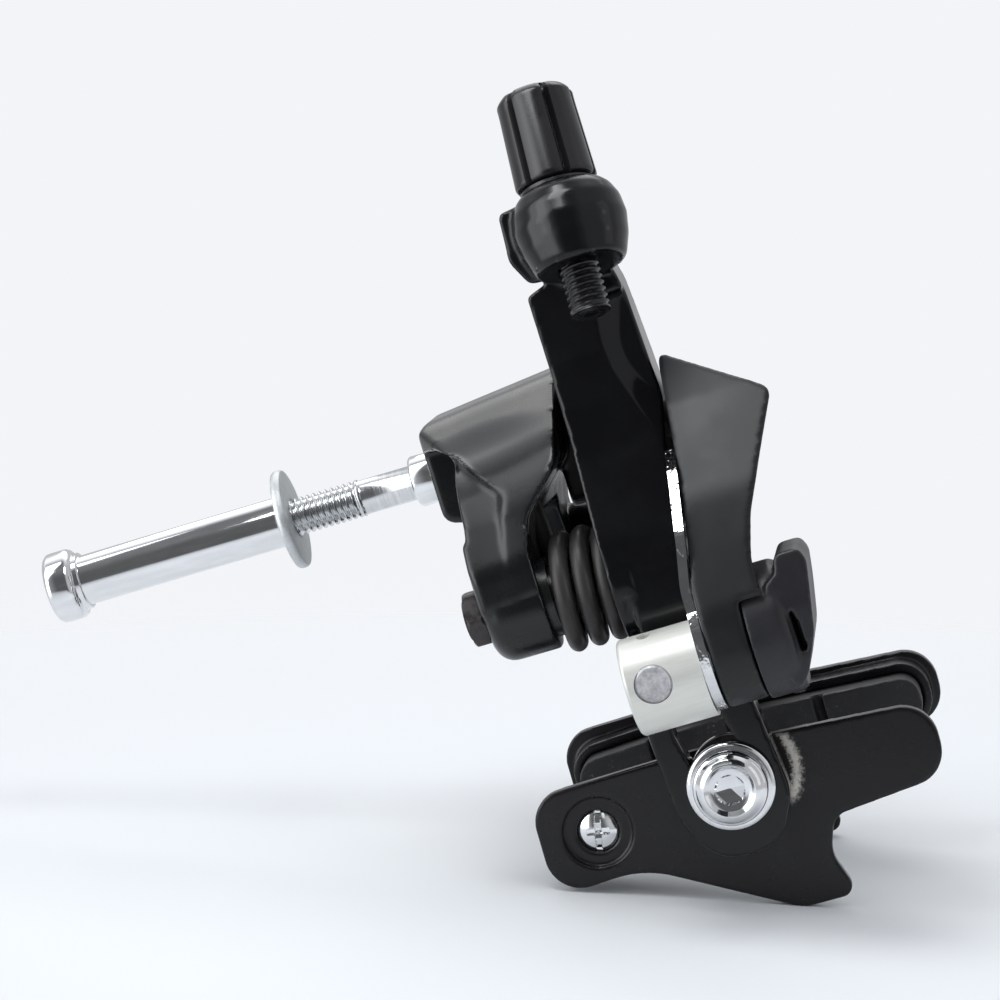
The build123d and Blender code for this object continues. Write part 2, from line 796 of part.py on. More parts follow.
def make_link_pin():
    """Pin pressed into the front arm, with a thin head behind the roller."""
    middle = (arm_rear + arm_front) / 2
    high = middle + roller_long / 2 + rest_gap
    body = rod_y(link_pin_r, -48.5, high, link_x, link_z())
    return body + rod_y(link_pin_r + 0.9, high, high + 0.6, link_x, link_z())


def make_anchor_plate():
    """Thin pressed plate behind the front arm, round the release shaft and up the arm."""
    front = front_arm_rear + rest_gap
    outline = rounded(
        [
            (anchor_x - 7.5, lever_z + 3),
            (anchor_x - 5.5, -14.0),
            (anchor_x + 1.5, -5.5),
            (anchor_x + 6.0, -2.5),
            (anchor_x + 9.0, -5.0),
            (anchor_x + 7.6, -15.0),
            (anchor_x + 8.6, lever_z + 3),
        ],
        [2, 3, 4, 1.5, 1.5, 6, 2],
    )
    side_view = rounded(
        [
            *rear_edge(rest_gap),
            (front, lever_z),
            (front + plate_thick, lever_z),
            *reversed(rear_edge(rest_gap + plate_thick)),
        ],
        [1, 20, 20, 12, 0.2, 0.2, 12, 20, 20, 1],
    )
    body = slab_y(outline, front - 5, front + 5) & slab_x(side_view, -70, -30)
    body += rod_y(anchor_boss_r, front, front + plate_thick, anchor_x, lever_z)
    return body - rod_y(shaft_r + running_fit, front - 1, front + 5, anchor_x, lever_z)


def make_release_shaft():
    """Shaft through the anchor boss, with an offset journal for the anchor block."""
    plate_rear = front_arm_rear + rest_gap + plate_thick
    body = rod_y(shaft_r, lever_rear, plate_rear, anchor_x, lever_z)
    body += rod_y(crank_r, plate_rear, journal_end - 0.2, anchor_x, lever_z - eccentric)
    return body + rod_y(shaft_r - 1, lever_front + 0.6, lever_rear, anchor_x, lever_z)


def make_release_lever():
    """Disc on the shaft with a raised thumb blade."""
    disc = rod_y(lever_r, lever_front, lever_rear, anchor_x, lever_z)
    disc = fillet(disc.edges().filter_by(GeomType.CIRCLE).sort_by(Axis.Y)[0], 1.4)
    blade = rounded(
        [
            (lever_front + 2.0, lever_z - 8.2),
            (lever_front + 0.6, lever_z - 8.2),
            (lever_front - 0.8, lever_z - 6.2),
            (lever_front - 3.0, lever_z - 1.2),
            (lever_tip_y + 0.6, lever_z + 5.2),
            (lever_tip_y, lever_z + 9.0),
            (lever_tip_y + 0.8, lever_z + 10.9),
            (lever_front - 0.3, lever_z + 10.9),
            (lever_front + 0.1, lever_z + 8.3),
            (lever_front + 2.0, lever_z + 7.0),
        ],
        [0.4, 1, 3, 10, 10, 2, 1.2, 1.4, 1, 0.5],
    )
    pocket = rounded(
        [
            (lever_front - 0.3, lever_z + 4.2),
            (lever_front - 1.2, lever_z + 1.0),
            (lever_front - 1.4, lever_z - 3.0),
            (lever_front - 0.4, lever_z - 4.4),
        ],
        [0.2, 2, 0.6, 0.4],
    )
    width = rounded(
        [
            (anchor_x - 7.0, lever_z - 12),
            (anchor_x - 8.5, lever_z + 4.0),
            (anchor_x - 6.0, lever_z + 13),
            (anchor_x + 6.0, lever_z + 13),
            (anchor_x + 8.5, lever_z + 4.0),
            (anchor_x + 7.0, lever_z - 12),
        ],
        [4, 8, 4, 4, 8, 4],
    )
    body = disc + (slab_x(blade, anchor_x - 12, anchor_x + 12) & slab_y(width, -60, -40))
    body -= slab_x(pocket, anchor_x - 12, anchor_x - 3)
    return body - rod_y(shaft_r - 1 + running_fit, lever_front + 0.6 - running_fit, lever_rear + 1, anchor_x, lever_z)


def make_stop_pin():
    return rod_y(stop_pin_r, lever_rear - stop_pin_reach, front_arm_rear - stop_pin_short, *stop_pin_place())


def make_anchor_block():
    """Round block on the offset journal, cross-bored for the clamp bolt and the cable."""
    z = lever_z - eccentric
    body = rod_y(block_r, block_front, block_rear, anchor_x, z)
    rear_edge = body.edges().filter_by(GeomType.CIRCLE).sort_by(Axis.Y)[-1]
    body = fillet(rear_edge, 0.6)
    body -= rod_y(crank_r + running_fit, block_front - 1, journal_end, anchor_x, z)
    body -= rod_x(clamp_bolt_r + running_fit, anchor_x - 20, anchor_x + 20, clamp_y, z + clamp_up)
    return body - Pos(cable_x, clamp_y, z) * Cylinder(cable_r, 3 * block_r)


def make_clamp_bolt():
    """Bolt across the anchor block, drilled for the cable, with a socket on the inner end."""
    z = lever_z - eccentric + clamp_up
    low = anchor_x - block_r + 0.3
    high = anchor_x + block_r - 0.6
    body = rod_x(clamp_bolt_r, low, high, clamp_y, z)
    body = chamfer(body.edges().filter_by(GeomType.CIRCLE), 0.3)
    body -= hex_x(clamp_socket_flats, high - 2.5, high + 1, clamp_y, z)
    return body - Pos(cable_x, clamp_y, z) * Cylinder(cable_r, 3 * block_r)


def holder_view(side):
    """Shoe outline seen along x: a long slab with round ends and a wheel guide hook."""
    back = guide_set_back if side > 0 else 0
    return rounded(
        [
            (-4.2, -49.1),
            (-31.0, -48.6),
            (-66.6, -51.2),
            (-66.2, -62.6),
            (-47.9 + back, -64.1),
            (-46.0 + back, -69.5),
            (-48.3 + back, -76.4),
            (-39.6, -76.3),
            (-18.0, -64.0),
            (-3.9, -64.8),
        ],
        [5, 200, 5.5, 5.2, 3, 5, 1.8, 7, 16, 5.5],
    )


def pad_view(inset):
    """Rubber outline seen along x, drawn in from the slab by the inset."""
    top = -51.0 - inset
    low = -63.9 + inset
    corner = 4.8 - inset
    return rounded(
        [
            (-5.4 - inset, top),
            (-31.0, top + 1.2),
            (-65.0 + inset, top - 1.0),
            (-65.0 + inset, low + 1.6),
            (-31.0, low + 0.6),
            (-5.4 - inset, low),
        ],
        [corner, 200, corner, corner, 200, corner],
    )


def across(side, near, far):
    """Low and high x for a piece between two distances from the middle plane."""
    return (near, far) if side > 0 else (-far, -near)


def make_shoe_holder(side):
    """Shoe holder: back plate with hook, walls round the rubber, and a seat for the washers."""
    back = slab_x(holder_view(side), *across(side, holder_floor_x + 2.4, holder_back_x))
    walls = slab_x(pad_view(0), *across(side, holder_inner_x, holder_back_x - 1.0))
    walls -= slab_x(pad_view(holder_wall), *across(side, holder_inner_x - 1, holder_floor_x))
    body = back + walls
    low, high = across(side, holder_floor_x + 0.2, holder_back_x + 5)
    body -= rod_x(shoe_bolt_r + running_fit, low, high, shoe_y, shoe_z)
    body -= rod_x(pad_screw_shank_r + running_fit, *across(side, holder_floor_x - 1, 40), pad_screw_y, pad_screw_z)
    body -= rod_x(pad_recess_r, *across(side, holder_back_x - pad_recess_deep, 40), pad_screw_y, pad_screw_z)
    seat = holder_back_x - pad_screw_seat
    return body - rod_x(pad_screw_r + rest_gap, *across(side, seat, 40), pad_screw_y, pad_screw_z)


def make_pad(side):
    """Rubber block with grooves across its braking face."""
    inset = holder_wall + pad_play
    body = slab_x(pad_view(inset), *across(side, pad_face_x, holder_floor_x - pad_play))
    for place in pad_groove_places:
        groove = slab_x(
            Pos(place, shoe_z) * Rectangle(2 * pad_groove_half, 40),
            *across(side, pad_face_x - 1, pad_face_x + pad_groove_deep),
        )
        body -= groove
    hole_r = pad_screw_shank_r + rest_gap
    return body - rod_x(hole_r, *across(side, holder_floor_x - 1.6, 40), pad_screw_y, pad_screw_z)


def make_pad_screw(side):
    low = holder_floor_x - 1.2
    seat = holder_back_x - pad_screw_seat
    body = rod_x(pad_screw_shank_r, *across(side, low, seat + 0.5), pad_screw_y, pad_screw_z)
    return body + rod_x(pad_screw_r, *across(side, seat, holder_back_x - pad_screw_flush), pad_screw_y, pad_screw_z)


def make_shoe_bolt(side):
    """Button head bolt through the slot into the holder."""
    seat = leg_outer_x + outer_washer_thick
    body = rod_x(shoe_bolt_r, *across(side, holder_floor_x + 0.3, seat + 1), shoe_y, shoe_z)
    head = rod_x(shoe_bolt_head_r, *across(side, seat, seat + shoe_bolt_head_long), shoe_y, shoe_z)
    outer = head.edges().filter_by(GeomType.CIRCLE).sort_by(Axis.X)
    body += fillet(outer[-1] if side > 0 else outer[0], 1.4)
    top = seat + shoe_bolt_head_long
    dish = extrude(Plane.YZ * Circle(shoe_bolt_dish_r), amount=shoe_bolt_dish_deep, taper=40)
    if side > 0:
        dish = Rot(0, 180, 0) * dish
    body -= Pos(side * top, shoe_y, shoe_z) * dish
    return body - hex_x(shoe_socket_flats, *across(side, seat + 0.8, seat + 10), shoe_y, shoe_z)


def make_outer_washer(side):
    body = rod_x(outer_washer_r, *across(side, leg_outer_x, leg_outer_x + outer_washer_thick), shoe_y, shoe_z)
    rims = body.edges().filter_by(GeomType.CIRCLE).sort_by(Axis.X)
    body = fillet(rims[-1] if side > 0 else rims[0], 0.6)
    return body - rod_x(shoe_bolt_r + running_fit, *across(side, 10, 60), shoe_y, shoe_z)


def make_seat_washer(side, near, far):
    body = rod_x(seat_washer_r, *across(side, near, far), shoe_y, shoe_z)
    body = chamfer(body.edges().filter_by(GeomType.CIRCLE), 0.3)
    return body - rod_x(shoe_bolt_r + running_fit, *across(side, 10, 60), shoe_y, shoe_z)


os.makedirs("parts", exist_ok=True)
stack_middle = (holder_back_x + leg_inner_x) / 2
parts = {
    "bracket": make_bracket(),
    "mounting_bolt": make_mounting_bolt(),
    "seat_collar": make_seat_collar(),
    "sleeve_nut": make_sleeve_nut(),
    "fork_washer": make_fork_washer(),
    "spring_spacer": make_spring_spacer(),
    "return_spring": make_return_spring(),
    "adjuster_arm": make_adjuster_arm(),
    "cam_pad": make_cam_pad(),
    "centring_screw": make_centring_screw(),
    "adjusting_barrel": make_adjusting_barrel(),
    "detent_washer": make_detent_washer(),
    "adjusting_knob": make_adjusting_knob(),
    "front_arm": make_front_arm(),
    "link_roller": make_link_roller(),
    "link_pin": make_link_pin(),
    "anchor_plate": make_anchor_plate(),
    "release_shaft": make_release_shaft(),
    "release_lever": make_release_lever(),
    "lever_stop_pin": make_stop_pin(),
    "anchor_block": make_anchor_block(),
    "clamp_bolt": make_clamp_bolt(),
}
for name, side in (("left", -1), ("right", 1)):
    parts[name + "_pivot_bolt"] = make_pivot_bolt(side)
    parts[name + "_pivot_nut"] = make_pivot_nut(side)
    parts[name + "_pivot_bush"] = make_pivot_bush(side)
    parts[name + "_shoe_holder"] = make_shoe_holder(side)
    parts[name + "_pad"] = make_pad(side)
    parts[name + "_pad_screw"] = make_pad_screw(side)
    parts[name + "_shoe_bolt"] = make_shoe_bolt(side)
    parts[name + "_outer_washer"] = make_outer_washer(side)
    parts[name + "_convex_washer"] = make_seat_washer(side, holder_back_x, stack_middle)
    parts[name + "_concave_washer"] = make_seat_washer(side, stack_middle, leg_inner_x)
for name, solid in parts.items():
    export_step(solid, "parts/" + name + ".step")
    print(name, round(solid.volume, 1), [round(value, 1) for value in (*solid.bounding_box().min, *solid.bounding_box().max)])
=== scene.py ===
# Dual pivot rim brake caliper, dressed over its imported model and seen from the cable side.
import bpy
import bmesh
import json
import math
from mathutils import Matrix, Vector


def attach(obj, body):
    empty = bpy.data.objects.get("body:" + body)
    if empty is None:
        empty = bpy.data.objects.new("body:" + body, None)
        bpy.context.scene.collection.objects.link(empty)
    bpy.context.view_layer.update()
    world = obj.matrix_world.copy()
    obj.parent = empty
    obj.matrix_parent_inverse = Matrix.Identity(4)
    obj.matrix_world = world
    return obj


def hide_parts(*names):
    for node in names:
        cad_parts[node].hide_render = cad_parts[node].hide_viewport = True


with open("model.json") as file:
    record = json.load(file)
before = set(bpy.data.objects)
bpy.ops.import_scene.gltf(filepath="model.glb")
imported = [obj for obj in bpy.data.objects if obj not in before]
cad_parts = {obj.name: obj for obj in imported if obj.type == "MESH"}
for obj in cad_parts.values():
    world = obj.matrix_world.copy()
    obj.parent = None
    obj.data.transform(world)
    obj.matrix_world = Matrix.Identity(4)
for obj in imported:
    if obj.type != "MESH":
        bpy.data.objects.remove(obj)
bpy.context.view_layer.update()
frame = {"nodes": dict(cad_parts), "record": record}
mm = 0.001
cadNodes = frame["nodes"]
bodyOf = {node: body for body, names in frame["record"]["behaviour"]["bodies"].items() for node in names}
print("frame loaded:", len(cadNodes), "pieces")


# shader groups that several finishes share

groupLook = {
    "peelDetail": 2.0, "cloudDetail": 4.0, "smear": (0.35, 0.65), "rareSpeck": 0.86,
    "grainDetail": (4.0, 0.7), "broadScale": 0.18, "broadDetail": 2.0, "fineShare": 0.6, "tone": (0.35, 0.65),
    "tornDetail": 3.0, "torn": (0.4, 0.6, 0.25, 1.0),
}


def newGroup(name, inputs, outputs):
    group = bpy.data.node_groups.new(name, "ShaderNodeTree")
    for label, kind, value in inputs:
        socket = group.interface.new_socket(name=label, in_out="INPUT", socket_type=kind)
        socket.default_value = value
    for label, kind in outputs:
        group.interface.new_socket(name=label, in_out="OUTPUT", socket_type=kind)
    return group, group.nodes.new("NodeGroupInput"), group.nodes.new("NodeGroupOutput")


def addNode(tree, kind, links=None, **settings):
    node = tree.nodes.new(kind)
    for key, value in settings.items():
        setattr(node, key, value)
    for socket, source in (links or {}).items():
        if hasattr(source, "is_linked"):
            tree.links.new(source, node.inputs[socket])
        else:
            node.inputs[socket].default_value = source
    return node


def addMath(tree, operation, first, second=0.0):
    return addNode(tree, "ShaderNodeMath", {0: first, 1: second}, operation=operation).outputs[0]


def addRange(tree, value, low, high, toLow=0.0, toHigh=1.0):
    links = {"Value": value, "From Min": low, "From Max": high, "To Min": toLow, "To Max": toHigh}
    return addNode(tree, "ShaderNodeMapRange", links, interpolation_type="SMOOTHSTEP").outputs["Result"]


def addNoise(tree, vector, scale, detail=3.0, roughness=0.55):
    links = {"Vector": vector, "Scale": scale, "Detail": detail, "Roughness": roughness}
    return addNode(tree, "ShaderNodeTexNoise", links).outputs["Fac"]


def makePaintSkin():
    group, into, out = newGroup("paintSkin", [
        ("Peel Scale", "NodeSocketFloat", 900.0), ("Roughness Low", "NodeSocketFloat", 0.2),
        ("Roughness High", "NodeSocketFloat", 0.35), ("Cloud Scale", "NodeSocketFloat", 90.0)],
        [("Height", "NodeSocketFloat"), ("Roughness", "NodeSocketFloat"), ("Cloud", "NodeSocketFloat")])
    place = addNode(group, "ShaderNodeTexCoord").outputs["Object"]
    peel = addNoise(group, place, into.outputs["Peel Scale"], groupLook["peelDetail"])
    cloud = addNoise(group, place, into.outputs["Cloud Scale"], groupLook["cloudDetail"])
    smear = addRange(group, cloud, *groupLook["smear"])
    rough = addNode(group, "ShaderNodeMapRange", {
        "Value": smear, "To Min": into.outputs["Roughness Low"], "To Max": into.outputs["Roughness High"]})
    group.links.new(peel, out.inputs["Height"])
    group.links.new(rough.outputs["Result"], out.inputs["Roughness"])
    group.links.new(smear, out.inputs["Cloud"])
    return group


def makeDustSpecks():
    group, into, out = newGroup("dustSpecks", [
        ("Scale", "NodeSocketFloat", 420.0), ("Size", "NodeSocketFloat", 0.09)],
        [("Mask", "NodeSocketFloat")])
    place = addNode(group, "ShaderNodeTexCoord").outputs["Object"]
    cells = addNode(group, "ShaderNodeTexVoronoi", {"Vector": place, "Scale": into.outputs["Scale"]})
    near = addMath(group, "LESS_THAN", cells.outputs["Distance"], into.outputs["Size"])
    pick = addNode(group, "ShaderNodeSeparateColor", {"Color": cells.outputs["Color"]})
    rare = addMath(group, "GREATER_THAN", pick.outputs[0], groupLook["rareSpeck"])
    group.links.new(addMath(group, "MULTIPLY", near, rare), out.inputs["Mask"])
    return group


def makeBrushedGrain():
    group, into, out = newGroup("brushedGrain", [
        ("Stretch", "NodeSocketVector", (1.0, 1.0, 1.0)), ("Fineness", "NodeSocketFloat", 1500.0)],
        [("Height", "NodeSocketFloat"), ("Tone", "NodeSocketFloat")])
    place = addNode(group, "ShaderNodeTexCoord").outputs["Object"]
    drawn = addNode(group, "ShaderNodeVectorMath", {0: place, 1: into.outputs["Stretch"]}, operation="MULTIPLY")
    fine = addNoise(group, drawn.outputs[0], into.outputs["Fineness"], *groupLook["grainDetail"])
    broadScale = addMath(group, "MULTIPLY", into.outputs["Fineness"], groupLook["broadScale"])
    broad = addNoise(group, drawn.outputs[0], broadScale, groupLook["broadDetail"])
    fine = addMath(group, "MULTIPLY", fine, groupLook["fineShare"])
    broad = addMath(group, "MULTIPLY", broad, 1 - groupLook["fineShare"])
    both = addMath(group, "ADD", fine, broad)
    group.links.new(both, out.inputs["Height"])
    group.links.new(addRange(group, both, *groupLook["tone"]), out.inputs["Tone"])
    return group


# Paler convex edges, picked out by pointiness and broken up by noise. They are partly rubbed paint and partly a
# painted edge highlight that stands in for the thin reflections along the edges.
def makeEdgeWearAndSheen():
    group, into, out = newGroup("edgeWearAndSheen", [
        ("From", "NodeSocketFloat", 0.53), ("To", "NodeSocketFloat", 0.62), ("Break Up", "NodeSocketFloat", 500.0)],
        [("Mask", "NodeSocketFloat")])
    point = addNode(group, "ShaderNodeNewGeometry").outputs["Pointiness"]
    edge = addNode(group, "ShaderNodeMapRange", {
        "Value": point, "From Min": into.outputs["From"], "From Max": into.outputs["To"]}).outputs["Result"]
    place = addNode(group, "ShaderNodeTexCoord").outputs["Object"]
    breakUp = addNoise(group, place, into.outputs["Break Up"], groupLook["tornDetail"])
    torn = addRange(group, breakUp, *groupLook["torn"])
    group.links.new(addMath(group, "MULTIPLY", edge, torn), out.inputs["Mask"])
    return group


paintSkin = makePaintSkin()
dustSpecks = makeDustSpecks()
brushedGrain = makeBrushedGrain()
edgeWearAndSheen = makeEdgeWearAndSheen()
print("shader groups made")


# finishes

def newFinish(name, **constants):
    finish = bpy.data.materials.new(name)
    finish.use_nodes = True
    shader = finish.node_tree.nodes["Principled BSDF"]
    for socket, value in constants.items():
        shader.inputs[socket.replace("_", " ")].default_value = value
    return finish, finish.node_tree, shader


def useGroup(tree, group, **values):
    node = tree.nodes.new("ShaderNodeGroup")
    node.node_tree = group
    for socket, value in values.items():
        node.inputs[socket.replace("_", " ")].default_value = value
    return node


# The Mix node has a set of sockets for each data type: these are the factor's and the colours'.
mixSockets = {"factor": 0, "low": 6, "high": 7, "result": 2}


def mixColours(tree, mask, low, high):
    mix = tree.nodes.new("ShaderNodeMix")
    mix.data_type = "RGBA"
    for label, value in (("factor", mask), ("low", low), ("high", high)):
        socket = mix.inputs[mixSockets[label]]
        if hasattr(value, "is_linked"):
            tree.links.new(value, socket)
        else:
            socket.default_value = (*value, 1)
    return mix.outputs[mixSockets["result"]]


def bumpInto(tree, shader, height, strength, distance):
    bump = addNode(tree, "ShaderNodeBump", {"Height": height, "Strength": strength, "Distance": distance})
    tree.links.new(bump.outputs["Normal"], shader.inputs["Normal"])


peelDeep = 0.05 * mm


# Takes the shine off the faces under the arch that look forward, which would mirror the backdrop at a flat angle.
def mattInside(tree, shader, look):
    place = addNode(tree, "ShaderNodeTexCoord").outputs["Object"]
    across = addNode(tree, "ShaderNodeSeparateXYZ", {0: place}).outputs["X"]
    facing = addNode(tree, "ShaderNodeNewGeometry").outputs["Normal"]
    forward = addNode(tree, "ShaderNodeSeparateXYZ", {0: facing}).outputs["Y"]
    inside = addRange(tree, across, look["mattFrom"], look["mattFrom"] + look["mattOver"])
    inside = addMath(tree, "MULTIPLY", inside, addRange(tree, forward, *look["mattFacing"]))
    specular = addRange(tree, inside, 0.0, 1.0, look["specular"], look["mattSpecular"])
    tree.links.new(specular, shader.inputs["Specular IOR Level"])
    tree.links.new(addRange(tree, inside, 0.0, 1.0, look["coat"], 0.0), shader.inputs["Coat Weight"])


def paintFinish(name, look):
    finish, tree, shader = newFinish(name, Coat_Weight=look["coat"], Coat_Roughness=look["coatRoughness"],
                                     Specular_IOR_Level=look["specular"])
    skin = useGroup(tree, paintSkin, Peel_Scale=look["peelScale"], Roughness_Low=look["rough"][0],
                    Roughness_High=look["rough"][1], Cloud_Scale=look["cloudScale"])
    dust = useGroup(tree, dustSpecks, Scale=look["dustScale"], Size=look["dustSize"])
    base = mixColours(tree, skin.outputs["Cloud"], look["colour"], look["cloudColour"])
    # The paler edges are partly rubbed paint and partly a painted edge highlight.
    worn = useGroup(tree, edgeWearAndSheen, From=look["wearAndSheenFrom"], To=look["wearAndSheenTo"])
    base = mixColours(tree, worn.outputs["Mask"], base, look["wearAndSheenColour"])
    tree.links.new(mixColours(tree, dust.outputs["Mask"], base, look["dustColour"]), shader.inputs["Base Color"])
    tree.links.new(skin.outputs["Roughness"], shader.inputs["Roughness"])
    if "mattFrom" in look:
        mattInside(tree, shader, look)
    bumpInto(tree, shader, skin.outputs["Height"], look["peel"], peelDeep)
    return finish


bracketPaint = {
    "colour": (0.0034, 0.0038, 0.0042), "cloudColour": (0.0048, 0.0055, 0.006), "rough": (0.24, 0.31),
    "cloudScale": 120.0, "peelScale": 1500.0, "peel": 0.10, "coat": 0.12, "coatRoughness": 0.16, "specular": 0.38,
    "dustScale": 260.0, "dustSize": 0.05, "dustColour": (0.10, 0.11, 0.11),
    # The edge colour is partly rubbed paint and partly a painted edge highlight.
    "wearAndSheenFrom": 0.54, "wearAndSheenTo": 0.70, "wearAndSheenColour": (0.03, 0.033, 0.034),
}
archPaint = dict(bracketPaint, mattFrom=-22.0 * mm, mattOver=2.0 * mm, mattFacing=(-0.5, -0.8), mattSpecular=0.02)
armGloss = dict(bracketPaint, rough=(0.15, 0.21), coat=0.1, specular=0.3, coatRoughness=0.08, peel=0.06,
                colour=(0.0024, 0.0026, 0.0034), cloudColour=(0.0034, 0.0037, 0.0046))
frontArmSatin = dict(bracketPaint, rough=(0.39, 0.45), coat=0.0, coatRoughness=0.24, colour=(0.0048, 0.0056, 0.0064),
                     cloudColour=(0.0062, 0.0072, 0.008))
leverMatt = dict(bracketPaint, rough=(0.36, 0.43), coat=0.0, colour=(0.014, 0.0138, 0.0165),
                 cloudColour=(0.019, 0.0187, 0.022), peelScale=2600.0, peel=0.3)
knobSatin = dict(bracketPaint, rough=(0.25, 0.32), coat=0.15, colour=(0.0048, 0.0044, 0.006),
                 cloudColour=(0.007, 0.0065, 0.0085), dustScale=500.0)
threadBlack = dict(bracketPaint, rough=(0.2, 0.3), colour=(0.004, 0.004, 0.0045), cloudColour=(0.006, 0.006, 0.0065))
springCoat = dict(bracketPaint, rough=(0.34, 0.46), coat=0.0, colour=(0.016, 0.015, 0.0148),
                  cloudColour=(0.026, 0.0235, 0.0225), peelScale=1900.0, peel=0.35, dustScale=350.0)
boltBlack = dict(bracketPaint, rough=(0.28, 0.5), colour=(0.012, 0.0085, 0.0085), cloudColour=(0.045, 0.034, 0.034),
                 cloudScale=700.0, peelScale=1200.0, peel=0.5)


def brushedFinish(name, look):
    finish, tree, shader = newFinish(name, Metallic=look["metallic"], Anisotropic=look["anisotropic"])
    grain = useGroup(tree, brushedGrain, Stretch=look["stretch"], Fineness=look["fineness"])
    base = mixColours(tree, grain.outputs["Tone"], look["dark"], look["light"])
    tree.links.new(base, shader.inputs["Base Color"])
    rough = addRange(tree, grain.outputs["Tone"], 0.0, 1.0, look["rough"][0], look["rough"][1])
    tree.links.new(rough, shader.inputs["Roughness"])
    bumpInto(tree, shader, grain.outputs["Height"], look["bump"], look["grainDeep"])
    return finish


chromeLook = {
    "metallic": 1.0, "stretch": (1.0, 0.15, 1.0), "fineness": 900.0, "anisotropic": 0.0, "bump": 0.05,
    "grainDeep": 0.02 * mm, "rough": (0.06, 0.11), "dark": (0.74, 0.745, 0.76), "light": (0.84, 0.845, 0.86),
}
washerChrome = dict(chromeLook, stretch=(1.0, 1.0, 1.0), rough=(0.09, 0.16), bump=0.08)
turnedSteel = dict(chromeLook, stretch=(0.3, 6.0, 0.3), fineness=700.0, rough=(0.12, 0.22), bump=0.12,
                   dark=(0.58, 0.59, 0.60), light=(0.74, 0.75, 0.76))
greyWasher = dict(chromeLook, stretch=(1.0, 1.0, 1.0), fineness=2400.0, rough=(0.45, 0.6), bump=0.5,
                  dark=(0.50, 0.52, 0.53), light=(0.64, 0.66, 0.67))
champagneLook = dict(chromeLook, metallic=0.35, stretch=(1.0, 0.06, 1.0), fineness=2600.0, rough=(0.36, 0.42),
                     bump=0.06, anisotropic=0.2, dark=(0.66, 0.665, 0.625), light=(0.71, 0.715, 0.675))
greyPin = dict(chromeLook, metallic=0.4, stretch=(1.0, 1.0, 1.0), fineness=1300.0, rough=(0.4, 0.52), bump=0.5,
               dark=(0.36, 0.36, 0.375), light=(0.62, 0.62, 0.64))
platedPress = dict(chromeLook, stretch=(1.0, 1.0, 1.0), fineness=150.0, rough=(0.05, 0.1), bump=1.0,
                   grainDeep=1.0 * mm, dark=(0.60, 0.605, 0.62))
bronzeLook = dict(greyPin, dark=(0.36, 0.25, 0.12), light=(0.5, 0.36, 0.18))

paints = {
    "bracketPaint": archPaint, "armGloss": armGloss, "frontArmSatin": frontArmSatin, "leverMatt": leverMatt,
    "knobSatin": knobSatin, "threadBlack": threadBlack, "springCoat": springCoat, "boltBlack": boltBlack,
}
metals = {
    "chrome": chromeLook, "washerChrome": washerChrome, "turnedSteel": turnedSteel, "greyWasher": greyWasher,
    "champagne": champagneLook, "greyPin": greyPin, "platedPress": platedPress, "bronze": bronzeLook,
}
finishes = {name: paintFinish(name, look) for name, look in paints.items()}
finishes.update({name: brushedFinish(name, look) for name, look in metals.items()})

# Where the outer washer has rubbed the holder bare: two frayed arcs of a ring round the shoe bolt. "worn" gives each
# arc's direction over the face (y, z) and the cosine at which it starts.
holderLook = {
    "colour": (0.0045, 0.004, 0.005), "cloudColour": (0.0065, 0.0056, 0.007), "rough": (0.24, 0.33),
    "peelScale": 1800.0, "cloudScale": 150.0, "peel": 0.15, "coat": 0.05, "coatRoughness": 0.2, "specular": 0.34,
    "centre": (-35.4 * mm, -53.8 * mm), "inner": (8.4 * mm, 9.1 * mm), "outer": (9.4 * mm, 10.6 * mm),
    "fray": 2.6 * mm, "frayNoise": (1400.0, 4.0, 0.8), "faceFrom": 0.9, "bare": (0.60, 0.57, 0.52),
    "worn": ((-0.99, 0.10, 0.62), (0.62, -0.78, 0.90)), "wornOver": 0.16,
}


# The dot product of two flat vectors, given as pairs of sockets or numbers.
def addDot(tree, first, second):
    parts = [addMath(tree, "MULTIPLY", one, other) for one, other in zip(first, second)]
    return addMath(tree, "ADD", *parts)


def rubbedMask(tree, look):
    place = addNode(tree, "ShaderNodeTexCoord").outputs["Object"]
    split = addNode(tree, "ShaderNodeSeparateXYZ", {0: place})
    offset = [addMath(tree, "SUBTRACT", split.outputs[axis], middle) for axis, middle in zip("YZ", look["centre"])]
    noise = addMath(tree, "SUBTRACT", addNoise(tree, place, *look["frayNoise"]), 0.5)
    fray = addMath(tree, "MULTIPLY", noise, look["fray"])
    radius = addMath(tree, "ADD", addMath(tree, "SQRT", addDot(tree, offset, offset)), fray)
    outer = addRange(tree, radius, *look["outer"], 1.0, 0.0)
    ring = addMath(tree, "MULTIPLY", addRange(tree, radius, *look["inner"]), outer)
    normal = addNode(tree, "ShaderNodeNewGeometry").outputs["Normal"]
    facing = addMath(tree, "ABSOLUTE", addNode(tree, "ShaderNodeSeparateXYZ", {0: normal}).outputs["X"])
    ring = addMath(tree, "MULTIPLY", ring, addMath(tree, "GREATER_THAN", facing, look["faceFrom"]))
    arcs = []
    for towardsY, towardsZ, start in look["worn"]:
        cosine = addMath(tree, "DIVIDE", addDot(tree, offset, (towardsY, towardsZ)), radius)
        arcs.append(addRange(tree, cosine, start, start + look["wornOver"]))
    return addMath(tree, "MULTIPLY", ring, addMath(tree, "MAXIMUM", *arcs))


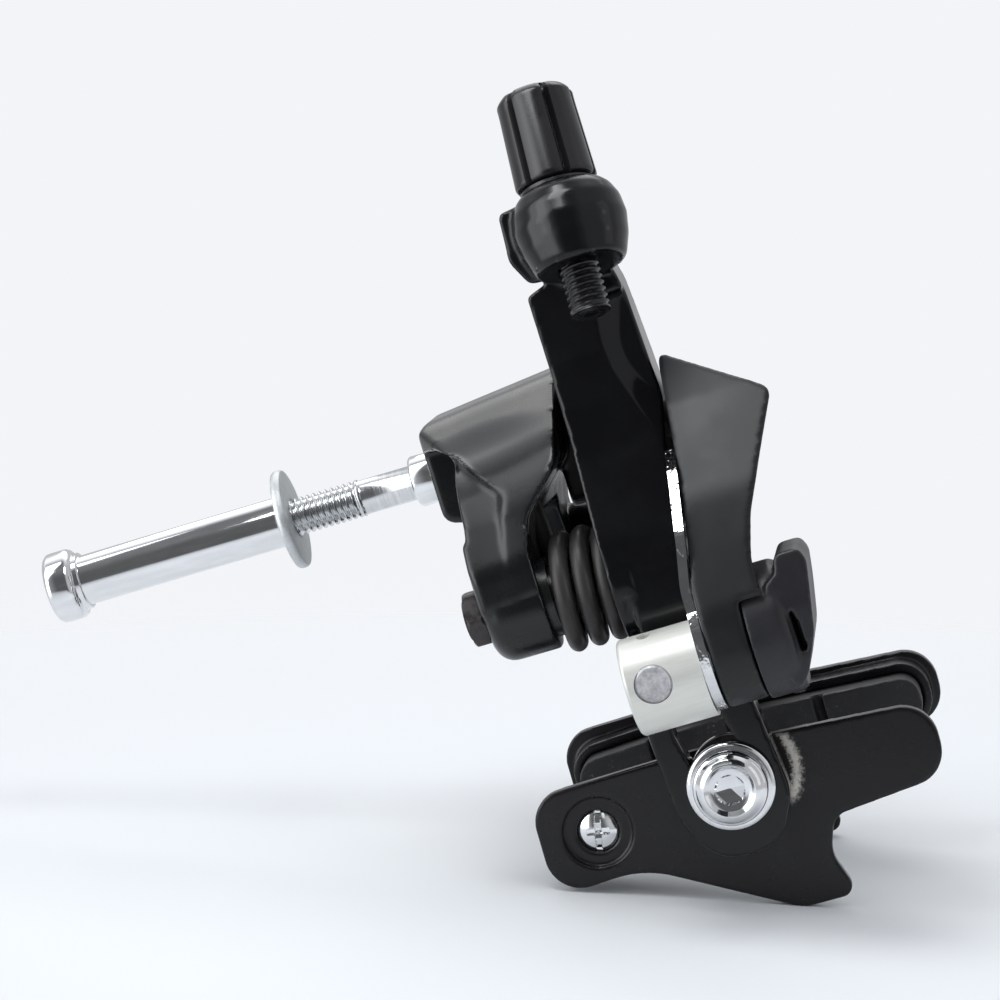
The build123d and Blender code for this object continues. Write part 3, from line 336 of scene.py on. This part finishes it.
def holderFinish(look):
    finish, tree, shader = newFinish("holderAnodised", Coat_Weight=look["coat"], Coat_Roughness=look["coatRoughness"],
                                     Specular_IOR_Level=look["specular"])
    skin = useGroup(tree, paintSkin, Peel_Scale=look["peelScale"], Roughness_Low=look["rough"][0],
                    Roughness_High=look["rough"][1], Cloud_Scale=look["cloudScale"])
    rubbed = rubbedMask(tree, look)
    base = mixColours(tree, skin.outputs["Cloud"], look["colour"], look["cloudColour"])
    tree.links.new(mixColours(tree, rubbed, base, look["bare"]), shader.inputs["Base Color"])
    tree.links.new(rubbed, shader.inputs["Metallic"])
    tree.links.new(skin.outputs["Roughness"], shader.inputs["Roughness"])
    bumpInto(tree, shader, skin.outputs["Height"], look["peel"], peelDeep)
    return finish


rubberLook = {
    "colour": (0.016, 0.016, 0.018), "dust": (0.13, 0.14, 0.145), "specular": 0.4,
    "speckNoise": (2600.0, 3.0, 0.7), "speck": (0.60, 0.72), "cloudNoise": (250.0, 3.0), "cloud": (0.4, 0.7),
    "rough": (0.3, 0.7, 0.42, 0.62), "grainNoise": (1900.0, 4.0, 0.7), "grain": 0.35, "grainDeep": 0.08 * mm,
}


def rubberFinish(look):
    finish, tree, shader = newFinish("padRubber", Specular_IOR_Level=look["specular"])
    place = addNode(tree, "ShaderNodeTexCoord").outputs["Object"]
    speck = addRange(tree, addNoise(tree, place, *look["speckNoise"]), *look["speck"])
    cloud = addNoise(tree, place, *look["cloudNoise"])
    mask = addMath(tree, "MULTIPLY", speck, addRange(tree, cloud, *look["cloud"]))
    tree.links.new(mixColours(tree, mask, look["colour"], look["dust"]), shader.inputs["Base Color"])
    tree.links.new(addRange(tree, cloud, *look["rough"]), shader.inputs["Roughness"])
    bumpInto(tree, shader, addNoise(tree, place, *look["grainNoise"]), look["grain"], look["grainDeep"])
    return finish


finishes["holderAnodised"] = holderFinish(holderLook)
finishes["padRubber"] = rubberFinish(rubberLook)
print("finishes made:", len(finishes))


# ways of making pieces

def newPiece(name, mesh, node, finish):
    piece = bpy.data.objects.new(name, mesh)
    bpy.context.scene.collection.objects.link(piece)
    mesh.materials.clear()
    mesh.materials.append(finishes[finish])
    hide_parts(node)
    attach(piece, bodyOf[node])
    return piece


def finishNode(node, finish):
    cadNode = cadNodes[node]
    if not cadNode.material_slots:
        return
    cadNode.material_slots[0].link = "OBJECT"
    cadNode.material_slots[0].material = finishes[finish]


relaxFactor = 0.5


# Presses a shallow hollow into a skin, on both sides of the middle plane and straight in along one direction, then
# irons it. Only faces that look outward enough move, from none at the first cosine to wholly at the second.
def pressDent(mesh, dent):
    shell = bmesh.new()
    shell.from_mesh(mesh)
    shell.normal_update()
    faintly, wholly = dent["facing"]
    moves = []
    for vertex in shell.verts:
        place = (abs(vertex.co.x), vertex.co.y, vertex.co.z)
        off = zip(place, dent["centre"], dent["reach"])
        share = 1 - sum(((part - middle * mm) / (size * mm)) ** 2 for part, middle, size in off)
        if share > 0:
            outward = Vector(dent["outward"])
            outward.x = math.copysign(outward.x, vertex.co.x)
            facing = (vertex.normal.dot(outward) - faintly) / (wholly - faintly)
            moves.append((vertex, outward * (share * share * min(max(facing, 0.0), 1.0) * dent["deep"] * mm)))
    for vertex, move in moves:
        vertex.co -= move
    for step in range(dent["passes"]):
        bmesh.ops.smooth_vert(shell, verts=[vertex for vertex, move in moves], factor=relaxFactor,
                              use_axis_x=True, use_axis_y=True, use_axis_z=True)
    shell.to_mesh(mesh)
    shell.free()


# A forged or moulded piece: the solid's own surface, remade as an even skin and relaxed so that its edges round off.
def roundedCopy(name, look):
    mesh = cadNodes[look["node"]].data.copy()
    piece = bpy.data.objects.new(name, mesh)
    bpy.context.scene.collection.objects.link(piece)
    skin = piece.modifiers.new("skin", "REMESH")
    skin.mode = "VOXEL"
    skin.voxel_size = look["voxel"]
    relax = piece.modifiers.new("relax", "SMOOTH")
    relax.factor = relaxFactor
    relax.iterations = look["passes"]
    done = bpy.data.meshes.new_from_object(piece.evaluated_get(bpy.context.evaluated_depsgraph_get()))
    bpy.data.objects.remove(piece)
    for dent in look.get("dents", ()):
        pressDent(done, dent)
    done.shade_smooth()
    return newPiece(name, done, look["node"], look["finish"])


def ringRadius(radius, shape, angle):
    if shape == "hex":
        turn = (angle + math.pi / 6) % (math.pi / 3) - math.pi / 6
        return radius / math.cos(turn)
    return radius


# Shares of half a pitch that a thread's flat crest and its flank take, and how much of it is left at its far end.
threadCrest, threadFlank, threadEnd = 0.12, 0.76, 0.3


# How deep a thread is cut at a place along it and a share of a turn round it. It fades over a pitch at both ends.
def threadDepth(thread, place, share):
    flank = abs((place / thread["pitch"] - share) % 1.0 - 0.5) * 2
    flank = min(max((flank - threadCrest) / threadFlank, 0.0), 1.0)
    entering = (place - thread["start"]) / thread["pitch"]
    leaving = (thread["end"] - place) / thread["pitch"] + threadEnd
    return thread["depth"] * flank * max(min(1.0, entering, leaving), 0.0)


# Loops of points in millimetres, skinned in order. The ends stay open where the profile comes back on itself.
def loopMesh(name, rows, closed=(False, False)):
    shell = bmesh.new()
    loops = [[shell.verts.new([part * mm for part in point]) for point in row] for row in rows]
    for low, high in zip(loops, loops[1:]):
        for step in range(len(low)):
            after = (step + 1) % len(low)
            shell.faces.new((low[step], low[after], high[after], high[step]))
    if closed[0]:
        shell.faces.new(reversed(loops[0]))
    if closed[1]:
        shell.faces.new(loops[-1])
    bmesh.ops.recalc_face_normals(shell, faces=shell.faces)
    mesh = bpy.data.meshes.new(name)
    shell.to_mesh(mesh)
    shell.free()
    return mesh


# Puts a mesh made round the z axis on its own axis, and shades it with edges sharper than an angle kept.
def placeTurned(mesh, origin, axis, sharp):
    turn = Vector((0, 0, 1)).rotation_difference(Vector(axis)).to_matrix().to_4x4()
    mesh.transform(Matrix.Translation(Vector(origin) * mm) @ turn)
    mesh.shade_smooth()
    mesh.set_sharp_from_angle(angle=math.radians(sharp))


# A turned piece: rings of (place along the axis, radius, shape), with any thread cut between two places.
def turnedPiece(name, node, finish, rings, origin, axis, sharp=35.0, segments=64, thread=None, closed=(True, True)):
    rows = [(place, radius, shape[0] if shape else "round", False) for place, radius, *shape in rings]
    if thread:
        long = thread["end"] - thread["start"]
        steps = int(long / thread["pitch"] * thread["steps"])
        cuts = [(thread["start"] + long * step / steps, thread["radius"], "round", True) for step in range(steps + 1)]
        rows[thread["after"]:thread["after"]] = cuts
    loops = []
    for place, radius, shape, cut in rows:
        loop = []
        for step in range(segments):
            angle = 2 * math.pi * step / segments
            size = ringRadius(radius, shape, angle)
            if cut:
                size -= threadDepth(thread, place, step / segments)
            loop.append((size * math.cos(angle), size * math.sin(angle), place))
        loops.append(loop)
    mesh = loopMesh(name, loops, closed)
    placeTurned(mesh, origin, axis, sharp)
    return newPiece(name, mesh, node, finish)


# forged arms, bracket and shoes

hoodDent = {
    "centre": (20.5, -13.0, -2.0), "reach": (11.5, 17.0, 11.0), "outward": (0.75, 0.0, 0.66), "facing": (0.25, 0.875),
    "deep": 1.5, "passes": 10,
}
forgings = {
    "bracketForging": {"node": "bracket", "finish": "bracketPaint", "voxel": 0.34 * mm, "passes": 12,
                       "dents": [hoodDent]},
    "adjusterArmForging": {"node": "adjuster_arm", "finish": "armGloss", "voxel": 0.34 * mm, "passes": 7},
    "frontArmForging": {"node": "front_arm", "finish": "frontArmSatin", "voxel": 0.38 * mm, "passes": 8},
    "quickReleaseLever": {"node": "release_lever", "finish": "leverMatt", "voxel": 0.26 * mm, "passes": 5},
    "leftShoeHolder": {"node": "left_shoe_holder", "finish": "holderAnodised", "voxel": 0.28 * mm, "passes": 3},
    "rightShoeHolder": {"node": "right_shoe_holder", "finish": "holderAnodised", "voxel": 0.28 * mm, "passes": 3},
    "leftPadBlock": {"node": "left_pad", "finish": "padRubber", "voxel": 0.28 * mm, "passes": 3},
    "rightPadBlock": {"node": "right_pad", "finish": "padRubber", "voxel": 0.28 * mm, "passes": 3},
}
for name, look in forgings.items():
    roundedCopy(name, look)
print("forgings and shoes made")


# mounting bolt, nut and washer

boltLook = {
    "rings": [(-22.0, 0.2, "hex"), (-22.0, 2.5, "hex"), (-24.4, 2.5, "hex"), (-24.7, 2.9), (-24.8, 3.2), (-24.8, 4.5),
              (-24.5, 4.95), (-21.1, 5.0), (-21.0, 3.0), (2.1, 3.0), (2.2, 2.95), (2.4, 2.75), (10.5, 2.75),
              (10.9, 2.8), (32.9, 2.5), (33.0, 2.3), (33.0, 0.2)],
    "thread": {"start": 11.0, "end": 32.4, "pitch": 1.0, "radius": 2.98, "depth": 0.52, "steps": 8, "after": 14},
}
turnedPiece("mountingBolt", "mounting_bolt", "turnedSteel", boltLook["rings"], (0, 0, 0), (0, 1, 0),
            thread=boltLook["thread"], sharp=60.0)
nutLook = {
    "rings": [(37.0, 0.2), (37.0, 3.05), (23.9, 3.05), (23.72, 3.2), (23.7, 3.7), (23.8, 3.9), (24.0, 3.99),
              (57.25, 4.0), (57.45, 4.02), (57.5, 4.5), (57.6, 4.6), (58.3, 4.6), (58.4, 4.7), (58.45, 5.0),
              (58.7, 5.35), (59.2, 5.62), (59.5, 5.68), (62.0, 5.68), (62.4, 5.6), (62.85, 5.2), (63.0, 4.9),
              (63.0, 3.55), (62.7, 3.2), (62.5, 2.9, "hex"), (57.2, 2.9, "hex"), (57.2, 0.2, "hex")],
}
turnedPiece("sleeveNut", "sleeve_nut", "chrome", nutLook["rings"], (0, 0, 0), (0, 1, 0), sharp=40.0, segments=96)
washerLook = {
    "rings": [(22.35, 3.06), (22.0, 3.3), (22.0, 7.4), (22.12, 7.75), (22.4, 7.95), (22.7, 8.0), (23.0, 8.0),
              (23.3, 7.95), (23.58, 7.75), (23.7, 7.4), (23.7, 3.3), (23.4, 3.06)],
}
turnedPiece("forkWasher", "fork_washer", "greyWasher", washerLook["rings"] + washerLook["rings"][:1],
            (0, 0, 0), (0, 1, 0), segments=96, closed=(False, False))
collarLook = {"rings": [(-1.6, 3.06), (-1.6, 4.0), (1.7, 4.08), (2.0, 3.95), (2.2, 3.7), (2.2, 3.06), (-1.6, 3.06)]}
turnedPiece("seatCollar", "seat_collar", "chrome", collarLook["rings"], (0, 0, 0), (0, 1, 0), closed=(False, False))
print("bolt, nut and washer made")


# adjuster: threaded barrel and fluted knob

adjuster = {
    "origin": (-36.0, -36.4, 31.5), "lean": 19.0,
    "barrel": [(18.5, 2.6), (9.5, 2.55), (9.5, 1.1), (-13.1, 1.1), (-13.2, 1.3), (-13.2, 2.3), (-13.0, 2.5),
               (18.4, 2.9), (18.5, 2.75), (18.5, 2.6)],
    "thread": {"start": -12.9, "end": 18.3, "pitch": 1.0, "radius": 2.99, "depth": 0.5, "steps": 8, "after": 7},
}
adjusterAxis = (math.sin(math.radians(adjuster["lean"])), 0, math.cos(math.radians(adjuster["lean"])))
turnedPiece("adjustingBarrel", "adjusting_barrel", "threadBlack", adjuster["barrel"], adjuster["origin"],
            adjusterAxis, thread=adjuster["thread"], sharp=60.0, closed=(False, False))


# Places along the axis and radii, in millimetres; angles in degrees. Each end is rounded by a depth, over a length,
# with a power. "under" gives the radii of the foot's flat face, and "mouth" the ways in from the top face.
knobLook = {
    "segments": 240, "rows": 60, "sharp": 50.0,
    "low": 6.95, "high": 22.1, "inset": 0.3, "foot": 6.25, "slope": -0.5,
    "under": (3.06, 4.6), "chamfer": (0.15, 5.1), "footRound": (0.7, 1.0, 2), "topRound": (1.2, 1.4, 1.3),
    "mouth": [(-0.1, 4.1), (0.0, 3.8), (0.0, 3.3), (-0.3, 3.2), (-4.4, 3.2), (-4.5, 3.06)],
    "ribs": 6, "phase": 26.0, "flat": 0.3, "grooveHalf": 5.4, "grooveDeep": 1.1, "groovePower": 0.6,
    "grooveAtTop": 0.75, "lipDeep": 0.3, "lipHalf": 11.88, "crownEnd": 0.4, "crownOver": 2.6,
}


# The knob's section in order: place, radius, and whether lobes and grooves are cut there.
def knobRows(look):
    low, high, inset = look["low"], look["high"], look["inset"]
    rows = [(low, radius, False) for radius in look["under"]]
    rise, radius = look["chamfer"]
    rows.append((low + rise, radius, True))
    for row in range(look["rows"] + 1):
        share = row / look["rows"]
        place = low + inset + (high - low - 2 * inset) * share
        radius = look["foot"] + look["slope"] * share
        for away, (deep, over, power) in ((place - low, look["footRound"]), (high - place, look["topRound"])):
            radius -= deep * max(0.0, 1 - away / over) ** power
        rows.append((place, radius, True))
    rows += [(high + rise, radius, False) for rise, radius in look["mouth"]]
    return rows + [(low, look["under"][0], False)]


# How far the knob's side is drawn in at an angle in degrees: the lobes' flats and the grooves between them. Under the
# top face the flats run out, the grooves get shallower and a faint dip spreads from each groove.
def knobCut(look, place, angle):
    crown = min(max((look["high"] - look["crownEnd"] - place) / look["crownOver"], 0.0), 1.0)
    width = 360 / look["ribs"]
    off = abs((angle - look["phase"] + width / 2) % width - width / 2)
    lobe = (width / 2 - off) / (width / 2)
    flat = look["flat"] * (1 - math.cos(math.radians(90 * lobe))) * crown
    wall = min(max(1.0 - off / look["grooveHalf"], 0.0), 1.0) ** look["groovePower"]
    groove = look["grooveDeep"] * wall * (look["grooveAtTop"] + (1 - look["grooveAtTop"]) * crown)
    lip = look["lipDeep"] * (1 - crown) * max(0.0, 1 - off / look["lipHalf"])
    return flat + groove + lip


def makeKnob(look):
    loops = []
    for place, radius, cut in knobRows(look):
        loop = []
        for step in range(look["segments"]):
            angle = 360 * step / look["segments"]
            size = radius - (knobCut(look, place, angle) if cut else 0.0)
            turn = math.radians(angle)
            loop.append((size * math.cos(turn), size * math.sin(turn), place))
        loops.append(loop)
    mesh = loopMesh("adjustingKnob", loops)
    placeTurned(mesh, adjuster["origin"], adjusterAxis, look["sharp"])
    return newPiece("adjustingKnob", mesh, "adjusting_knob", "knobSatin")


makeKnob(knobLook)
print("adjuster made")


# shoe fixings on both sides

shoeBolt = {
    "seat": 36.9, "y": -35.4, "z": -53.8,
    "rings": [(-13.3, 0.2), (-13.3, 2.8), (-13.0, 3.0), (1.0, 3.0), (1.0, 5.35), (1.05, 5.6), (1.3, 5.65),
              (2.2, 5.62), (2.6, 5.45), (2.75, 5.2), (2.95, 5.05), (3.5, 4.75), (3.95, 4.3), (4.15, 4.0),
              (4.2, 3.85), (4.1, 3.7), (3.6, 3.3), (3.45, 3.05), (3.4, 2.55), (3.35, 2.3), (3.1, 2.02, "hex"),
              (1.9, 2.0, "hex"), (1.6, 0.2)],
}
outerWasher = {
    "rings": [(36.4, 3.06), (36.4, 6.5), (36.5, 6.62), (37.3, 6.64), (37.6, 6.55), (37.8, 6.3), (37.9, 5.9),
              (37.85, 5.4), (37.9, 5.2), (37.9, 3.06), (36.4, 3.06)],
}
sides = (("left", -1), ("right", 1))
for side, sign in sides:
    turnedPiece(side + "ShoeBolt", side + "_shoe_bolt", "chrome", shoeBolt["rings"],
                (sign * shoeBolt["seat"], shoeBolt["y"], shoeBolt["z"]), (sign, 0, 0), segments=96, sharp=30.0)
    turnedPiece(side + "OuterWasher", side + "_outer_washer", "washerChrome", outerWasher["rings"],
                (0, shoeBolt["y"], shoeBolt["z"]), (sign, 0, 0), segments=96, closed=(False, False))

# The head is made of rings, from a small share of its radius outwards. Below it come places along the axis and radii.
padScrew = {
    "y": -13.0, "z": -56.7, "top": 27.15, "radius": 3.08, "dome": 0.95, "domePower": 2.4,
    "rings": 34, "segments": 128, "centre": 0.004, "sharp": 40.0,
    "below": [(25.75, 3.08), (25.7, 2.0), (22.0, 2.0), (22.0, 0.01)],
    "turn": 12.0, "slotHalf": 0.42, "slotDeep": 0.75,
    "crossHalf": 0.5, "crossLong": 1.75, "crossDeep": 1.2, "crossRise": 0.55,
}


# The domed head's height at a point of it, less the slot and the cross that are cut into it.
def padScrewHeight(look, along, over):
    height = look["dome"] * (1 - (math.hypot(along, over) / look["radius"]) ** look["domePower"])
    turn = math.radians(look["turn"])
    across = along * math.cos(turn) + over * math.sin(turn)
    upward = over * math.cos(turn) - along * math.sin(turn)
    cut = look["slotDeep"] if abs(across) < look["slotHalf"] else 0.0
    for first, second in ((across, upward), (upward, across)):
        if abs(first) < look["crossHalf"] and abs(second) < look["crossLong"]:
            cut = max(cut, look["crossDeep"] * (1 - look["crossRise"] * abs(second) / look["crossLong"]))
    return height - cut


def makePadScrew(side, sign, look):
    head = [(None, look["radius"] * max(ring / look["rings"], look["centre"])) for ring in range(look["rings"] + 1)]
    loops = []
    for place, radius in head + look["below"]:
        loop = []
        for step in range(look["segments"]):
            angle = 2 * math.pi * step / look["segments"]
            along, over = radius * math.cos(angle), radius * math.sin(angle)
            out = place
            if place is None:
                out = look["top"] - look["dome"] + padScrewHeight(look, along, over)
            loop.append((sign * out, look["y"] + along, look["z"] + over))
        loops.append(loop)
    mesh = loopMesh(side + "PadScrew", loops, (True, True))
    mesh.shade_smooth()
    mesh.set_sharp_from_angle(angle=math.radians(look["sharp"]))
    return newPiece(side + "PadScrew", mesh, side + "_pad_screw", "chrome")


for side, sign in sides:
    makePadScrew(side, sign, padScrew)
print("shoe fixings made")


# the rest of the solids keep their shape and take their finish

plainFinishes = {
    "spring_spacer": "threadBlack", "return_spring": "springCoat", "cam_pad": "turnedSteel",
    "centring_screw": "boltBlack", "detent_washer": "threadBlack", "link_roller": "turnedSteel",
    "link_pin": "boltBlack", "anchor_plate": "platedPress", "release_shaft": "turnedSteel",
    "lever_stop_pin": "boltBlack", "anchor_block": "champagne", "clamp_bolt": "greyPin",
    "left_pivot_bolt": "boltBlack", "right_pivot_bolt": "boltBlack", "left_pivot_nut": "boltBlack",
    "right_pivot_nut": "boltBlack", "left_pivot_bush": "bronze", "right_pivot_bush": "bronze",
    "left_convex_washer": "turnedSteel", "right_convex_washer": "turnedSteel",
    "left_concave_washer": "boltBlack", "right_concave_washer": "boltBlack",
}
for node, finish in plainFinishes.items():
    finishNode(node, finish)
print("finishes put on", len(plainFinishes), "solids")


# floor, light and camera

# The floor and the camera are tilted as in the photograph. Angles are in degrees, and distances in metres unless a
# place is given in millimetres. In the world, each span is (from, to, strength at from, strength at to) over the
# part of a direction that its name says.
studio = {
    "floorTilt": 19.4, "floorCentre": (0, -46.0), "floorRadius": 0.5, "fade": (0.10, 0.34, 1.0, 0.0),
    "floorColour": (0.84, 0.865, 0.895), "paperTone": 0.99, "paperScale": 30.0, "paperRoughness": 0.9,
    "backdrop": (0.896, 0.905, 0.935), "skyColour": (0.95, 0.97, 1.0), "skyStrength": 0.82,
    "around": (-0.1, 0.4, 0.12, 0.62), "beside": (0.22, 0.62, 0.10, 0.55), "above": (0.55, 0.9, 0.0, 0.9),
    "backFrom": (-0.1, 0.5, 0.1, 1.0), "strip": {"from": 34.0, "to": 88.0, "soft": 6.0, "strength": 2.6},
    "stripFoot": (-0.35, -0.1), "cameraDistance": 0.620, "cameraYaw": 6.1, "cameraRise": 6.9, "cameraRoll": 17.19,
    "cameraTarget": (0, -9.92, -6.51), "focalPixels": 3949.4, "imagePixels": 1000, "sensor": 36.0, "clip": 0.02,
}


def makeFloor(look):
    tilt = math.radians(look["floorTilt"])
    mesh = bpy.data.meshes.new("studioFloor")
    shell = bmesh.new()
    bmesh.ops.create_circle(shell, cap_ends=True, segments=96, radius=look["floorRadius"])
    shell.to_mesh(mesh)
    shell.free()
    floor = bpy.data.objects.new("studioFloor", mesh)
    bpy.context.scene.collection.objects.link(floor)
    normal = Vector((0, -math.sin(tilt), math.cos(tilt)))
    level = min(normal.dot(corner.co) for node in ("left_shoe_holder", "right_shoe_holder")
                for corner in cadNodes[node].data.vertices)
    across, along = look["floorCentre"]
    rise = (level - normal.y * along * mm) / normal.z
    floor.matrix_world = Matrix.Translation((across * mm, along * mm, rise)) @ Matrix.Rotation(tilt, 4, "X")
    finish, tree, shader = newFinish("floorPaper", Roughness=look["paperRoughness"])
    place = addNode(tree, "ShaderNodeTexCoord").outputs["Object"]
    length = addNode(tree, "ShaderNodeVectorMath", {0: place}, operation="LENGTH").outputs["Value"]
    fade = addRange(tree, length, *look["fade"])
    darker = tuple(look["paperTone"] * part for part in look["floorColour"])
    paper = mixColours(tree, addNoise(tree, place, look["paperScale"]), look["floorColour"], darker)
    tree.links.new(paper, shader.inputs["Base Color"])
    back = addNode(tree, "ShaderNodeNewGeometry").outputs["Backfacing"]
    front = addMath(tree, "SUBTRACT", 1.0, back)
    tree.links.new(addMath(tree, "MULTIPLY", fade, front), shader.inputs["Alpha"])
    mesh.materials.append(finish)


# How bright the world is to a mirror: dim in front, lighter behind, beside and above, with one upright strip light.
def mirroredStrength(tree, look):
    direction = addNode(tree, "ShaderNodeTexCoord").outputs["Generated"]
    split = addNode(tree, "ShaderNodeSeparateXYZ", {0: direction})
    across, along, upward = (split.outputs[axis] for axis in "XYZ")
    beside = addRange(tree, addMath(tree, "ABSOLUTE", along), *look["beside"])
    around = addMath(tree, "MAXIMUM", addRange(tree, across, *look["around"]), beside)
    above = addRange(tree, upward, *look["above"])
    above = addMath(tree, "MULTIPLY", above, addRange(tree, across, *look["backFrom"]))
    turned = addMath(tree, "ARCTAN2", along, addMath(tree, "MULTIPLY", across, -1.0))
    low, high, soft = (math.radians(look["strip"][key]) for key in ("from", "to", "soft"))
    strip = addMath(tree, "MULTIPLY", addRange(tree, turned, low - soft, low + soft),
                    addRange(tree, turned, high - soft, high + soft, 1.0, 0.0))
    strip = addMath(tree, "MULTIPLY", addRange(tree, upward, *look["stripFoot"]), strip)
    strip = addMath(tree, "MULTIPLY", strip, look["strip"]["strength"])
    return addMath(tree, "ADD", addMath(tree, "ADD", around, above), strip)


def makeWorld(look):
    world = bpy.data.worlds.new("studioWorld")
    bpy.context.scene.world = world
    world.use_nodes = True
    tree = world.node_tree
    tree.nodes.clear()
    out = tree.nodes.new("ShaderNodeOutputWorld")
    sky = (*look["skyColour"], 1)
    seen = addNode(tree, "ShaderNodeBackground", {"Color": (*look["backdrop"], 1), "Strength": 1.0})
    mirrored = addNode(tree, "ShaderNodeBackground", {"Color": sky, "Strength": mirroredStrength(tree, look)})
    soft = addNode(tree, "ShaderNodeBackground", {"Color": sky, "Strength": look["skyStrength"]})
    path = addNode(tree, "ShaderNodeLightPath")
    shiny = addMath(tree, "MAXIMUM", path.outputs["Is Glossy Ray"], path.outputs["Is Transmission Ray"])
    lit = addNode(tree, "ShaderNodeMixShader", {0: shiny, 1: soft.outputs[0], 2: mirrored.outputs[0]})
    camera = path.outputs["Is Camera Ray"]
    shown = addNode(tree, "ShaderNodeMixShader", {0: camera, 1: lit.outputs[0], 2: seen.outputs[0]})
    tree.links.new(shown.outputs[0], out.inputs["Surface"])


# Rightwards, upwards and back towards the camera, as it looks at the part, and upright before it rises.
def cameraAxes(look):
    roll, yaw, rise = (math.radians(look[key]) for key in ("cameraRoll", "cameraYaw", "cameraRise"))
    across = Vector((0, -math.cos(roll), -math.sin(roll)))
    upright = Vector((0, -math.sin(roll), math.cos(roll)))
    outward = across * math.sin(yaw) - Vector((math.cos(yaw), 0, 0))
    right = across * math.cos(yaw) + Vector((math.sin(yaw), 0, 0))
    back = outward * math.cos(rise) + upright * math.sin(rise)
    up = upright * math.cos(rise) - outward * math.sin(rise)
    return right, up, back, upright


def makeCamera(look):
    right, up, back = cameraAxes(look)[:3]
    data = bpy.data.cameras.new("studioCamera")
    data.sensor_width = look["sensor"]
    data.lens = look["focalPixels"] / look["imagePixels"] * look["sensor"]
    data.clip_start = look["clip"]
    camera = bpy.data.objects.new("studioCamera", data)
    bpy.context.scene.collection.objects.link(camera)
    turn = Matrix((right, up, back)).transposed().to_4x4()
    camera.matrix_world = Matrix.Translation(Vector(look["cameraTarget"]) * mm + back * look["cameraDistance"]) @ turn
    bpy.context.scene.camera = camera


def makeLamp(name, look):
    right, _, back, upright = cameraAxes(studio)
    target = Vector(look.get("aim", studio["cameraTarget"])) * mm
    place = target + right * look["right"] + upright * look["up"] + back * look["towards"]
    data = bpy.data.lights.new(name, "AREA")
    data.shape = "RECTANGLE"
    data.size, data.size_y = look["size"]
    data.energy = look["energy"]
    data.color = look["colour"]
    lamp = bpy.data.objects.new(name, data)
    bpy.context.scene.collection.objects.link(lamp)
    lamp.location = place
    lamp.rotation_euler = (target - place).to_track_quat("-Z", "Y").to_euler()


makeFloor(studio)
makeWorld(studio)
makeCamera(studio)

# Each lamp stands off the camera's target, or off its own in millimetres, by metres to the right, up and towards us.
lamps = {
    "topSoftbox": {"right": 0.0, "up": 0.50, "towards": -0.40, "size": (0.55, 0.32), "energy": 0.9,
                   "colour": (1, 0.99, 0.97)},
    "frontSoftbox": {"aim": (-45, -48, 0), "right": -0.058, "up": 0.115, "towards": 0.028, "size": (0.05, 0.075),
                     "energy": 0.095, "colour": (0.97, 0.99, 1)},
    "leftSoftbox": {"right": -0.55, "up": 0.22, "towards": 0.28, "size": (0.22, 0.5), "energy": 0.5,
                    "colour": (0.97, 0.99, 1)},
    "rightSoftbox": {"right": 0.55, "up": 0.20, "towards": 0.15, "size": (0.22, 0.5), "energy": 0.12,
                     "colour": (1, 0.99, 0.98)},
}
for name, look in lamps.items():
    makeLamp(name, look)
bpy.context.scene.view_settings.view_transform = "Standard"
print("floor, light and camera placed")
